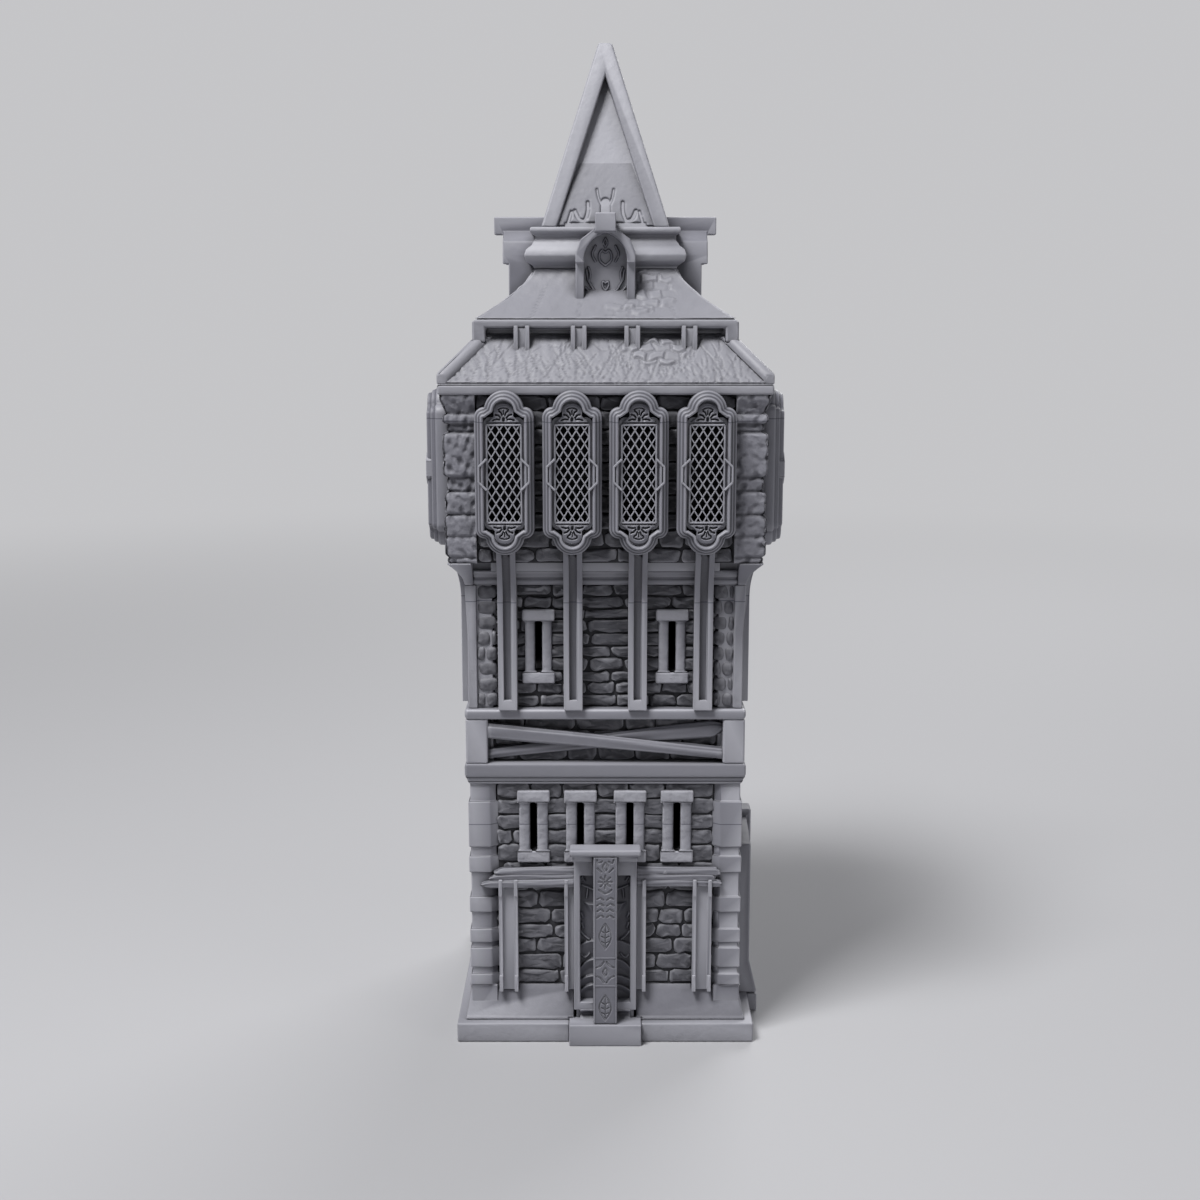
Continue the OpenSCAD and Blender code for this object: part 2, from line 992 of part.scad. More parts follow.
module dormer_outline() {
    rim = dormer_shoulder;
    polygon(concat([[dormer_half, dormer_foot]], rim,
                   [for (i = [2:-1:0]) [-rim[i][0], rim[i][1]]], [[-dormer_half, dormer_foot]]));
}

// Everything of the roofs and spire that a dormer is cut to fit against
module roof_mass() {
    mitred(bell(neck_half, z_concave));
    mitred(cornice_profile);
    mitred([[spire_half, z_spire], [spire_tip_half, z_tip]]);
}

module dormer_frames() {
    color(timber_grey)
        around()
            difference() {
                union() {
                    face_plate([dormer_back, dormer_face]) dormer_outline();
                    face_plate([dormer_back, arch_face])
                        intersection() {
                            dormer_outline();
                            translate([-reach, arch_foot]) square([2 * reach, reach]);
                        }
                    face_box([-key_half, key_half], [dormer_back, key_face], key_z);
                }
                face_plate([dormer_panel_d[0], reach]) dormer_opening();
                roof_mass();
            }
}

module dormer_panels() {
    color(carved_grey)
        around()
            difference() {
                face_plate(dormer_panel_d) dormer_opening();
                roof_mass();
            }
}

// ---- Spire ----

module spire_faces() {
    color(roof_grey)
        difference() {
            mitred([[spire_face_half, z_spire], [0, z_spire + spire_face_h]]);
            mitred([[spire_inner_half, z_spire - overrun], [0, z_spire + spire_inner_h]]);
        }
}

module spire_ridges() {
    gap_half = spire_half - ridge_w;
    color(timber_grey)
        difference() {
            mitred([[spire_half, z_spire], [spire_tip_half, z_tip]]);
            mitred([[spire_face_half, z_spire], [0, z_spire + spire_face_h]]);
            around([front, right])
                rotate([90, 0, 0])
                    linear_extrude(height = 2 * reach, center = true)
                        polygon([[-gap_half, z_spire], [gap_half, z_spire],
                                 [0, z_spire + ridge_gap_h]]);
        }
}

plinth_slab();
plinth_batter();
ground_walls();
corner_piers();
grooved_posts();
lintel_beams();
ground_window_surrounds();
portal_step();
portal_frame();
portal_panel();
portal_centre_post();
portal_cap();
door_surround();
door_leaf();
door_step();
lower_band();
brace_walls();
brace_posts();
cross_braces();
upper_band();
middle_floor();
middle_walls();
middle_corner_posts();
channel_posts();
middle_window_surrounds();
top_rails();
corbels();
upper_floor();
upper_walls();
upper_corner_piers();
front_window_frames();
right_window_frames();
back_window_frames();
left_window_frames();
window_panels();
eave_fascia();
lower_roof();
hip_beams();
roof_posts();
upper_eave();
concave_roof();
roof_cornice();
dormer_frames();
dormer_panels();
spire_faces();
spire_ridges();
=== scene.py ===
import json
from math import radians, pi, sqrt

import bmesh
import bpy
import mathutils
import numpy as np
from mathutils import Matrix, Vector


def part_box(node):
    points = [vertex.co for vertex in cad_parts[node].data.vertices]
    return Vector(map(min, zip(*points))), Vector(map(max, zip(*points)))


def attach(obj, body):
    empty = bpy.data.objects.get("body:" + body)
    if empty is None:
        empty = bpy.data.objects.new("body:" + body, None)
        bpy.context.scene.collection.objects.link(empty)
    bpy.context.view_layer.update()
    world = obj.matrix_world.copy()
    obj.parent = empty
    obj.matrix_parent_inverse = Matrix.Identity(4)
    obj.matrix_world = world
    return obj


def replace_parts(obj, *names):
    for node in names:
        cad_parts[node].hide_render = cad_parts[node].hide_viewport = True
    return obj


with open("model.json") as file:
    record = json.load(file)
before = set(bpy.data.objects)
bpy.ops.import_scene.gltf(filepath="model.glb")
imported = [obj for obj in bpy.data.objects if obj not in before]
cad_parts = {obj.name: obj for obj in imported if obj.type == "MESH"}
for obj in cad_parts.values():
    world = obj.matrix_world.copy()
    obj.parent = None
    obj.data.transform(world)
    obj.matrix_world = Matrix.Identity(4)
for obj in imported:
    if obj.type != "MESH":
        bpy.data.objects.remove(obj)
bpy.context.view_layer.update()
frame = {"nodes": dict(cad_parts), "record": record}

scene = bpy.context.scene
mm = 0.001
sideNames = ("front", "right", "back", "left")
allSides = (0, 1, 2, 3)  # quarter turns from the front
print("frame loaded:", len(frame["nodes"]), "nodes")

# resin finishes: linear colours, and shade as the reach in mm of the painted shade in joints and recesses
resinLook = {
    "stone": dict(colour=(0.18, 0.18, 0.207), roughness=0.6, toothScale=520, tooth=0.35, lump=0.3,
                  drift=0.14, shade=3.5, depth=0.16, paintedEdgeHighlight=0.45, seams=True),
    # rubble is darker than stone as painted shade on the recessed walls; its rougher bump is real
    "rubble": dict(colour=(0.11, 0.11, 0.127), roughness=0.64, toothScale=600, tooth=0.55, lump=0.9,
                  drift=0.24, shade=6.0, depth=0.04, paintedEdgeHighlight=0.4, seams=False),
    # the wall core between the stones is near black as painted shade
    "mortarPaintedShade": dict(colour=(0.045, 0.045, 0.052), roughness=0.8, toothScale=620, tooth=0.5, lump=0.6,
                  drift=0.2, shade=3.0, depth=0.1, paintedEdgeHighlight=0.0, seams=False),
    "weathered": dict(colour=(0.2, 0.2, 0.23), roughness=0.66, toothScale=520, tooth=0.7, lump=1.0,
                  drift=0.2, shade=3.5, depth=0.14, paintedEdgeHighlight=0.5, seams=True),
    "timber": dict(colour=(0.185, 0.185, 0.215), roughness=0.46, toothScale=800, tooth=0.06, lump=0.06,
                  drift=0.06, shade=4.5, depth=0.12, paintedEdgeHighlight=0.6, seams=True),
    "hewn": dict(colour=(0.2, 0.2, 0.23), roughness=0.54, toothScale=800, tooth=0.2, lump=0.2,
                  drift=0.14, shade=4.0, depth=0.1, paintedEdgeHighlight=0.5, seams=False),
    "carving": dict(colour=(0.18, 0.18, 0.21), roughness=0.5, toothScale=900, tooth=0.1, lump=0.08,
                  drift=0.08, shade=3.0, depth=0.1, paintedEdgeHighlight=0.4, seams=True),
    "roof": dict(colour=(0.24, 0.24, 0.27), roughness=0.54, toothScale=700, tooth=0.35, lump=0.2,
                  drift=0.12, shade=4.0, depth=0.1, paintedEdgeHighlight=0.35, seams=False),
    # recessed panels are darker than stone as painted shade
    "recessPaintedShade": dict(colour=(0.14, 0.14, 0.165), roughness=0.56, toothScale=900, tooth=0.2, lump=0.15,
                  drift=0.14, shade=2.5, depth=0.08, paintedEdgeHighlight=0.5, seams=False),
    # near-black sheets behind the windows, painted shade
    "paintedShadowSheet": dict(colour=(0.012, 0.012, 0.014), roughness=0.9, toothScale=300, tooth=0.2, lump=0.2,
                  drift=0.3, shade=2.0, depth=0.5, paintedEdgeHighlight=0.0, seams=False),
}
seamLevels = (60.3, 120.7, 167.8)  # where the printed sections meet, in mm


def resinMaterial(name, look):
    # base colour = slow drift x painted shade in joints and recesses, with a painted highlight on raised edges, x
    # section seams; bump = fine tooth over larger lumps
    mat = bpy.data.materials.new(name)
    mat.use_nodes = True
    nodes, links = mat.node_tree.nodes, mat.node_tree.links
    shader = nodes["Principled BSDF"]
    shader.inputs["Roughness"].default_value = look["roughness"]
    coords = nodes.new("ShaderNodeTexCoord")

    def noise(scale, detail):
        node = nodes.new("ShaderNodeTexNoise")
        node.inputs["Scale"].default_value = scale
        node.inputs["Detail"].default_value = detail
        links.new(coords.outputs["Object"], node.inputs["Vector"])
        return node.outputs["Fac"]

    def blend(factor, first, second, mode="MIX"):
        node = nodes.new("ShaderNodeMix")
        node.data_type = "RGBA"
        node.blend_type = mode
        sockets = [s for s in node.inputs if s.type == "RGBA"]
        for socket, value in zip(sockets, (first, second)):
            if isinstance(value, bpy.types.NodeSocket):
                links.new(value, socket)
            else:
                socket.default_value = (*value, 1)
        links.new(factor, node.inputs[0])
        return [s for s in node.outputs if s.type == "RGBA"][0]

    def maths(operation, first, second):
        node = nodes.new("ShaderNodeMath")
        node.operation = operation
        for socket, value in zip(node.inputs, (first, second)):
            if isinstance(value, bpy.types.NodeSocket):
                links.new(value, socket)
            else:
                socket.default_value = value
        return node.outputs[0]

    dark = [c * (1 - look["drift"]) for c in look["colour"]]
    light = [c * (1 + look["drift"]) for c in look["colour"]]
    colour = blend(noise(110, 5), dark, light)
    paintedCavityShade = nodes.new("ShaderNodeAmbientOcclusion")  # painted shade: the colour darkens where joints and recesses are occluded
    paintedCavityShade.samples = 6
    paintedCavityShade.inputs["Distance"].default_value = look["shade"] * mm
    hollow = maths("POWER", maths("SUBTRACT", 1.0, paintedCavityShade.outputs["AO"]), 0.85)
    # painted shade: occluded places are multiplied toward the depth tone
    colour = blend(hollow, colour, [look["depth"]] * 3, "MULTIPLY")
    paintedEdgeHighlight = maths("MULTIPLY", maths("SUBTRACT", nodes.new("ShaderNodeNewGeometry").outputs["Pointiness"], 0.505), 5.0)
    paintedEdgeHighlight = maths("MINIMUM", maths("MAXIMUM", paintedEdgeHighlight, 0.0), look["paintedEdgeHighlight"])  # painted highlight: raised edges are painted paler
    colour = blend(paintedEdgeHighlight, colour, (0.55, 0.55, 0.6))
    if look["seams"]:
        height = nodes.new("ShaderNodeSeparateXYZ")
        links.new(coords.outputs["Object"], height.inputs[0])
        mark = 0.0
        for level in seamLevels:
            near = maths("ABSOLUTE", maths("SUBTRACT", height.outputs["Z"], level * mm), 0.0)
            mark = maths("ADD", mark, maths("LESS_THAN", near, 0.13 * mm))
        colour = blend(mark, colour, (0.45, 0.45, 0.5), "MULTIPLY")
    links.new(colour, shader.inputs["Base Color"])

    tooth, lump = nodes.new("ShaderNodeBump"), nodes.new("ShaderNodeBump")
    lump.inputs["Strength"].default_value = look["lump"]
    lump.inputs["Distance"].default_value = 0.7 * mm
    links.new(noise(330, 3), lump.inputs["Height"])
    tooth.inputs["Strength"].default_value = look["tooth"]
    tooth.inputs["Distance"].default_value = 0.22 * mm
    links.new(noise(look["toothScale"], 6), tooth.inputs["Height"])
    links.new(lump.outputs["Normal"], tooth.inputs["Normal"])
    links.new(tooth.outputs["Normal"], shader.inputs["Normal"])
    return mat


materials = {name: resinMaterial("resin_" + name, look) for name, look in resinLook.items()}
finishOfSlot = {"resin_stonework": "stone", "resin_timberwork": "timber", "resin_carving": "carving", "resin_roofwork": "roof"}
finishOfNode = {sub["node"]: finishOfSlot[sub["material_slot"]] for sub in frame["record"]["subparts"]}
for node in ("upper_corner_piers", "ground_window_surrounds", "middle_window_surrounds"):
    finishOfNode[node] = "weathered"
# the wall cores take a near-black tone as painted shade
for node in ("ground_walls", "brace_walls", "middle_walls", "upper_walls"):
    finishOfNode[node] = "mortarPaintedShade"
# the recessed panels take a darker tone as painted shade
for node in ("portal_panel", "dormer_panels", "window_panels"):
    finishOfNode[node] = "recessPaintedShade"
for node, obj in frame["nodes"].items():
    obj.data.materials.clear()
    obj.data.materials.append(materials[finishOfNode[node]])
print("resin finishes made:", len(materials))


def place(x, p, z, turn):
    # across a face, out from the axis and up, turned by quarter turns to its side
    c, s = ((1, 0), (0, 1), (-1, 0), (0, -1))[turn]
    x, p, z = np.broadcast_arrays(x, p, z)
    return np.stack([x * c + p * s, x * s - p * c, z], -1) * mm


def ringFaces(count, rings, segs):
    # quads between neighbouring rings of each loft, and a cap at both its ends
    first = np.arange(count)[:, None, None] * rings * segs
    i = np.arange(rings - 1)[None, :, None] * segs
    j = np.arange(segs)[None, None, :]
    k = (j + 1) % segs
    quads = np.stack([first + i + j, first + i + k, first + i + segs + k, first + i + segs + j], -1)
    ends = np.arange(segs)
    low = first[:, 0] + ends[::-1]
    high = first[:, 0] + (rings - 1) * segs + ends
    return quads.reshape(-1, 4).tolist() + low.tolist() + high.tolist()


def finishPiece(name, mesh, finish, smooth=True):
    # normals recalculated outwards, then the finish, the slot and the body
    bm = bmesh.new()
    bm.from_mesh(mesh)
    bmesh.ops.remove_doubles(bm, verts=bm.verts, dist=1e-7)
    bmesh.ops.recalc_face_normals(bm, faces=bm.faces)
    bm.to_mesh(mesh)
    bm.free()
    mesh.polygons.foreach_set("use_smooth", [smooth] * len(mesh.polygons))
    mesh.materials.append(materials[finish])
    piece = bpy.data.objects.new(name, mesh)
    scene.collection.objects.link(piece)
    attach(piece, "root")
    return piece


def loftPiece(name, rings, finish, smooth=True):
    # one closed loft for each row of rings[loft, ring, point, xyz]; a list holds lofts of several shapes
    groups = rings if isinstance(rings, list) else [rings]
    points, faces, start = [], [], 0
    for group in groups:
        count, ringCount, segs = group.shape[:3]
        faces += [[v + start for v in face] for face in ringFaces(count, ringCount, segs)]
        points.append(group.reshape(-1, 3))
        start += count * ringCount * segs
    mesh = bpy.data.meshes.new(name)
    mesh.from_pydata(np.concatenate(points).tolist(), [], faces)
    return finishPiece(name, mesh, finish, smooth)


def slabRings(x, p, z, back, turn):
    # a carved front surface closed behind by a flat back: each row is one ring
    x, p, z = np.broadcast_arrays(x, p, z)
    back = np.broadcast_to(back, p.shape)
    x = np.concatenate([x, x[:, -1:], x[:, :1]], 1)
    z = np.concatenate([z, z[:, -1:], z[:, :1]], 1)
    p = np.concatenate([p, back[:, -1:], back[:, :1]], 1)
    return place(x, p, z, turn)[None]


def ripple(x, z, size, seed, waves=9):
    # sum of sine waves of random bearing and phase, about -1 to 1
    rng = np.random.default_rng(seed)
    bearing, phase = rng.uniform(0, 2 * pi, waves), rng.uniform(0, 2 * pi, waves)
    rate = 2 * pi / size * rng.uniform(0.6, 1.6, waves)
    total = sum(np.sin(k * (x * np.cos(b) + z * np.sin(b)) + f) for k, b, f in zip(rate, bearing, phase))
    return total / sqrt(waves)


def strokeDistance(x, z, points):
    # least distance to a chain of straight strokes
    best = np.full(np.broadcast(x, z).shape, 1e9)
    pairs = list(zip(points[:-1], points[1:])) or [(points[0], points[0])]
    for (ax, az), (bx, bz) in pairs:
        length = (bx - ax) ** 2 + (bz - az) ** 2
        t = np.clip(((x - ax) * (bx - ax) + (z - az) * (bz - az)) / length, 0, 1) if length else 0
        best = np.minimum(best, np.hypot(x - ax - t * (bx - ax), z - az - t * (bz - az)))
    return best


def rounded(points, times=2):
    # each corner of the chain is cut at a quarter and three quarters of its strokes
    points = np.array(points, float)
    for _ in range(times if len(points) > 2 else 0):
        a, b = points[:-1], points[1:]
        cut = np.stack([0.75 * a + 0.25 * b, 0.25 * a + 0.75 * b], 1).reshape(-1, 2)
        points = np.concatenate([points[:1], cut, points[-1:]])
    return [tuple(p) for p in points]


def ridge(distance, half, soft=0.2):
    # 1 on the stroke, falling smoothly to 0 past its half width
    t = np.clip((half + soft - distance) / (2 * soft), 0, 1)
    return t * t * (3 - 2 * t)


def softCopy(node, width=0.25, segments=3):
    # the CAD shape with its edges rounded, as cast resin has them
    mesh = frame["nodes"][node].data.copy()
    mesh.name = node + "_soft"
    bm = bmesh.new()
    bm.from_mesh(mesh)
    bmesh.ops.remove_doubles(bm, verts=bm.verts, dist=1e-6)
    bmesh.ops.dissolve_limit(bm, angle_limit=radians(1), verts=bm.verts, edges=bm.edges)
    bm.to_mesh(mesh)
    bm.free()
    mesh.materials.clear()
    mesh.materials.append(materials[finishOfNode[node]])
    mesh.polygons.foreach_set("use_smooth", [True] * len(mesh.polygons))
    piece = bpy.data.objects.new(node + "_soft", mesh)
    scene.collection.objects.link(piece)
    bevel = piece.modifiers.new("rounded edges", "BEVEL")
    bevel.width = width * mm
    bevel.segments = segments
    bevel.limit_method = "ANGLE"
    bevel.angle_limit = radians(32)
    bevel.use_clamp_overlap = False
    bevel.harden_normals = True
    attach(piece, "root")
    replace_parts(piece, node)
    return piece


edgeWidth = {
    "plinth_slab": 0.55, "plinth_batter": 0.4, "corner_piers": 0.32, "grooved_posts": 0.18, "portal_step": 0.35,
    "portal_frame": 0.3, "portal_centre_post": 0.25, "portal_cap": 0.65, "door_surround": 0.6, "door_leaf": 0.3,
    "door_step": 0.4, "lower_band": 0.75, "brace_posts": 0.6, "upper_band": 0.9, "channel_posts": 0.18,
    "top_rails": 0.45, "middle_corner_posts": 0.35, "corbels": 0.4,
    "ground_window_surrounds": 0.5, "middle_window_surrounds": 0.5, "eave_fascia": 0.7, "hip_beams": 0.4,
    "roof_posts": 0.18, "upper_eave": 0.7, "roof_cornice": 0.3, "dormer_frames": 0.35, "spire_ridges": 0.6,
}
for node, width in edgeWidth.items():
    softCopy(node, width)
print("soft-edged copies made:", len(edgeWidth))


def courses(seed, low, high, foot, top, height, lengths, joint, gaps):
    # rows of stones of random length, broken where a gap (x0, x1, z0, z1) crosses the row
    rng = np.random.default_rng(seed)
    rows = max(1, round((top - foot) / height))
    edges = np.linspace(foot, top, rows + 1)
    edges[1:-1] += rng.uniform(-0.09, 0.09, rows - 1) * height
    stones = []
    for z0, z1 in zip(edges[:-1], edges[1:]):
        cuts = sorted((g[0], g[1]) for g in gaps if g[2] < z1 - 0.4 and g[3] > z0 + 0.4)
        spans, start = [], low
        for a, b in cuts:
            spans.append((start, a))
            start = max(start, b)
        spans.append((start, high))
        for a, b in spans:
            x = a if a > low else a - rng.uniform(0, lengths[0])
            while b - x > 0.8 and b > a:
                end = x + rng.uniform(*lengths)
                if b - end < 0.45 * lengths[0]:
                    end = b
                x0, x1 = max(x, a), min(end, b)
                if x1 - x0 > 2:
                    stones.append((x0 + joint / 2, x1 - joint / 2, z0 + joint / 2 + rng.uniform(0, 0.12), z1 - joint / 2))
                x = end
    return np.array(stones)


def pillows(stones, base, bulge, turn, seed, segs=18, corner=0.4, crown=0.4, rough=0.2):
    # superellipsoid domes: across and up by cos to a power, outward by sin to a power
    rng = np.random.default_rng(seed)
    x0, x1, z0, z1 = (stones[:, i][:, None, None] for i in range(4))
    rise = np.array([0, 0, 0.16, 0.42, 0.75, 1.15, 1.5])[None, :, None]
    around = (np.arange(segs) + 0.5)[None, None, :] * 2 * pi / segs
    spread = np.cos(rise) ** crown
    cosA, sinA = np.cos(around), np.sin(around)
    x = (x0 + x1) / 2 + (x1 - x0) / 2 * spread * np.sign(cosA) * np.abs(cosA) ** corner
    z = (z0 + z1) / 2 + (z1 - z0) / 2 * spread * np.sign(sinA) * np.abs(sinA) ** corner
    tall = bulge * rng.uniform(0.7, 1.0, (len(stones), 1, 1))
    p = base + tall * np.sin(rise) ** crown
    p[:, 0] = base - 0.5
    p = p + np.where(rise > 0.3, rough * ripple(x, z, 2.4, seed + 5), 0)
    x = x + 1.2 * rough * ripple(x, z, 3.6, seed + 1)
    z = z + 1.2 * rough * ripple(x, z, 3.2, seed + 2)
    return place(x, p, z, turn)


wallStone = dict(joint=0.42, lengths=(6.5, 14), bulge=1.2)
slitXs, midSlitXs, windowXs = (-19.1, -6.6, 6.6, 19.1), (-17.5, 17.5), (-25.5, -8.4, 8.4, 25.5)
storeys = {
    "ground": dict(node="ground_walls", foot=14.9, top=71.6, half=29.0, height=4.25, seed=11, sink=0.25,
                   gaps=[(x - 1.3, x + 1.3, 52.9, 66.4) for x in slitXs]),
    "brace": dict(node="brace_walls", foot=77.1, top=89.3, half=29.6, height=3.6, seed=23, sink=0.35, gaps=[]),
    "middle": dict(node="middle_walls", foot=92, top=125.2, half=29.4, height=3.45, seed=37, sink=0.2,
                   gaps=[(x - 1.3, x + 1.3, 101.6, 115.3) for x in midSlitXs]),
    "upper": dict(node="upper_walls", foot=131.3, top=174.2, half=32.8, height=4.3, seed=53, sink=0.2,
                  gaps=[(x - 5.2, x + 5.2, 141.2, 168.4) for x in windowXs]),
}
for storey, s in storeys.items():
    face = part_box(s["node"])[1][1] / mm
    for turn, side in enumerate(sideNames):
        gaps = list(s["gaps"])
        if storey == "ground" and turn == 0:
            gaps.append((-6.6, 6.6, 0, 50))
        if storey == "ground" and turn == 1:
            gaps.append((-19.0, 19.0, 0, 49))
        stones = courses(s["seed"] + turn, -s["half"], s["half"], s["foot"], s["top"], s["height"],
                         wallStone["lengths"], wallStone["joint"], gaps)
        domes = pillows(stones, face - s["sink"], wallStone["bulge"], turn, s["seed"] + 10 * turn)
        loftPiece(f"{storey}_stones_{side}", domes, "rubble")
print("coursed stones laid")

cornerStone = dict(low=28.3, split=31.2, high=33.7, foot=92.2, top=125, rows=8, face=34.1, bulge=1.7,
                   splitShare=0.7, squareness=0.66, rough=0.07)
rings = []
for turn in allSides:
    for side in (-1, 1):
        rng = np.random.default_rng(70 + turn * 2 + side)
        levels = np.linspace(cornerStone["foot"], cornerStone["top"], cornerStone["rows"] + 1)
        stones = []
        for low, high in zip(levels[:-1], levels[1:]):
            split = cornerStone["split"] + rng.uniform(-1.3, 1.3)
            row = [(cornerStone["low"], split), (split, cornerStone["high"])]
            if rng.random() >= cornerStone["splitShare"]:
                row = [(cornerStone["low"], cornerStone["high"])]
            for a, b in row:
                a, b = (a, b) if side > 0 else (-b, -a)
                stones.append((a + 0.1, b - 0.1, low + 0.15, high - 0.15))
        rings.append(pillows(np.array(stones), cornerStone["face"], cornerStone["bulge"], turn, 90 + turn + side,
                             corner=cornerStone["squareness"], crown=cornerStone["squareness"], rough=cornerStone["rough"]))
loftPiece("corner_pillow_stones", rings, "rubble")
print("corner stones laid")


def hewnBar(ends, out, halfHeight, halfDepth, seed, turn, frayLeft=0.0, frayRight=0.0, steps=60, segs=28):
    # rounded box profile carried from end to end, with grain grooves that run along it and frayed ends
    t = np.linspace(0, 1, steps)[:, None]
    angle = np.linspace(0, 2 * pi, segs, endpoint=False)[None, :]
    rng = np.random.default_rng(seed)
    (xa, za), (xb, zb) = ends
    grain = 1 + 0.07 * np.sin(7 * angle + 1.5 * np.sin(5 * t + seed)) + 0.05 * np.sin(11 * angle - 3 * t + seed)
    left = np.clip(t / 0.09, 0, 1) ** 0.6 if frayLeft else 1.0
    right = np.clip((1 - t) / 0.05, 0, 1) ** 0.5 if frayRight else 1.0
    size = np.array(halfHeight[0] + (halfHeight[1] - halfHeight[0]) * t) * (0.25 + 0.75 * left) * (0.45 + 0.55 * right)
    cosA, sinA = np.cos(angle), np.sin(angle)
    jag = rng.uniform(-1, 1, (1, segs))
    x = xa + (xb - xa) * t + jag * (frayLeft * (t < 0.02) + frayRight * (t > 0.98))
    z = za + (zb - za) * t + size * grain * np.sign(sinA) * np.abs(sinA) ** 0.6
    p = out + halfDepth * grain * np.sign(cosA) * np.abs(cosA) ** 0.7 + 0 * t
    return place(x, p, z, turn)[None]


braceLook = dict(front=((-31, 85.9), (31, 79.7)), back=((-31, 79.3), (31, 86.4)), frontOut=35.0, backOut=33.9)
rings = []
for turn in allSides:
    rings.append(hewnBar(braceLook["front"], braceLook["frontOut"], (2.1, 1.4), 1.5, 3 + turn, turn))
    rings.append(hewnBar(braceLook["back"], braceLook["backOut"], (1.3, 2.3), 1.2, 8 + turn, turn, frayRight=0.6))
logs = loftPiece("crossed_logs", rings, "hewn")
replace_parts(logs, "cross_braces")

beamLook = dict(out=36.0, depth=1.2, portal=8.4, right=(30.6, 29.4, 31.0), left=(-29.4, -30.8, -32.9),
                middle=(47.5, 45.9, 44.3), half=(1.25, 1.3, 1.2))
b = beamLook
rings = []
for strand in range(3):  # three split strands lie one above another, each a little longer than the last
    z, half, left, right = b["middle"][strand], b["half"][strand], b["left"][strand], b["right"][strand]
    nose = b["out"] + (0.55 if strand == 2 else 0)
    depth = b["depth"] + 0.08 * strand
    rings += [
        hewnBar(((left, z - 0.5), (-b["portal"], z)), nose, (half * 0.85, half), depth, 21 + strand, 0, frayLeft=0.5),
        hewnBar(((b["portal"], z), (right, z - 0.3)), b["out"], (half, half * 0.9), depth, 31 + strand, 0, frayRight=0.4),
        hewnBar(((-right, z - 0.3), (-left - 2, z)), b["out"], (half * 0.9, half), depth, 41 + strand, 2,
                frayLeft=0.4, frayRight=0.4),
    ]
beams = loftPiece("hewn_beams", rings, "hewn")
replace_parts(beams, "lintel_beams")
print("hewn timbers made")


windowLook = dict(middle=154.8, half=7.5, straight=14.1, lobeCentre=15.85, lobeRadius=4.95, shoulderRadius=2.45,
                  lattice=(4.35, 12.3), pitch=(2.1, 3.35), bar=0.17, border=0.24, barFace=44.75, barBack=43.9,
                  lug=0.27, lugFace=46.38)
# the moulding as (inset, distance out): three rounded steps, then the inner cheek
moulding = np.array([
    (0, 38.6), (0, 43.2), (0.1, 43.6), (0.4, 43.85), (0.72, 43.7), (0.8, 44.55), (0.92, 44.9), (1.2, 45.05), (1.5, 44.9),
    (1.58, 45.7), (1.7, 46.0), (1.95, 46.12), (2.2, 46.0), (2.38, 45.6), (2.4, 38.6),
])


def windowOutline(w):
    # a quarter is the straight side, the shoulder arc and the lobe arc; the others are its mirror images
    side = np.stack([np.full(6, w["half"]), np.linspace(0, w["straight"], 6)], 1)
    a = np.linspace(0, pi / 2, 9)[1:]
    shoulder = np.stack([w["half"] - w["shoulderRadius"] * (1 - np.cos(a)), w["straight"] + w["shoulderRadius"] * np.sin(a)], 1)
    a = np.linspace(np.arcsin(0.75 / w["lobeRadius"]), pi / 2, 13)
    lobe = np.stack([w["lobeRadius"] * np.cos(a), w["lobeCentre"] + w["lobeRadius"] * np.sin(a)], 1)
    quarter = np.concatenate([side, shoulder, lobe])
    upper = np.concatenate([quarter, (quarter * (-1, 1))[-2::-1]])
    return np.concatenate([upper, (-upper)[1:-1]])


outline = windowOutline(windowLook)
ahead = np.roll(outline, -1, 0) - np.roll(outline, 1, 0)
inward = np.stack([-ahead[:, 1], ahead[:, 0]], 1) / np.linalg.norm(ahead, axis=1)[:, None]


def closedSweep(points, faces, rows, segs, start):
    # a closed profile carried round a closed path
    i = np.arange(rows)[:, None]
    j = np.arange(segs)[None, :]
    a, b = start + i * segs, start + (i + 1) % rows * segs
    faces += np.stack([a + j, a + (j + 1) % segs, b + (j + 1) % segs, b + j], -1).reshape(-1, 4).tolist()


for turn, side in enumerate(sideNames):
    points, faces = [], []
    for centre in windowXs:
        x = centre + outline[:, None, 0] + inward[:, None, 0] * moulding[None, :, 0]
        z = windowLook["middle"] + outline[:, None, 1] + inward[:, None, 1] * moulding[None, :, 0]
        closedSweep(points, faces, len(outline), len(moulding), sum(len(q) for q in points))
        points.append(place(x, moulding[None, :, 1], z, turn).reshape(-1, 3))
    mesh = bpy.data.meshes.new(f"{side}_window_mouldings")
    mesh.from_pydata(np.concatenate(points).tolist(), [], faces)
    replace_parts(finishPiece(f"{side}_window_mouldings", mesh, "carving"), f"{side}_window_frames")
print("window mouldings swept")


def barRings(starts, ends, half, front, back, turn):
    # a flat bar from start to end: its two end sections are the rings
    a, b = np.array(starts, float), np.array(ends, float)
    along = (b - a) / np.linalg.norm(b - a, axis=1)[:, None]
    sideways = np.stack([-along[:, 1], along[:, 0]], 1) * half
    shares = np.array([-1, -0.5, 0.5, 1, 0])[None, :]
    sections = []
    for end in (a, b):
        x = end[:, :1] + sideways[:, :1] * shares
        z = end[:, 1:] + sideways[:, 1:] * shares
        p = np.array([front - half * 0.6, front, front, front - half * 0.6, back])[None, :]
        sections.append(place(x, p, z, turn))
    return np.stack(sections, 1)


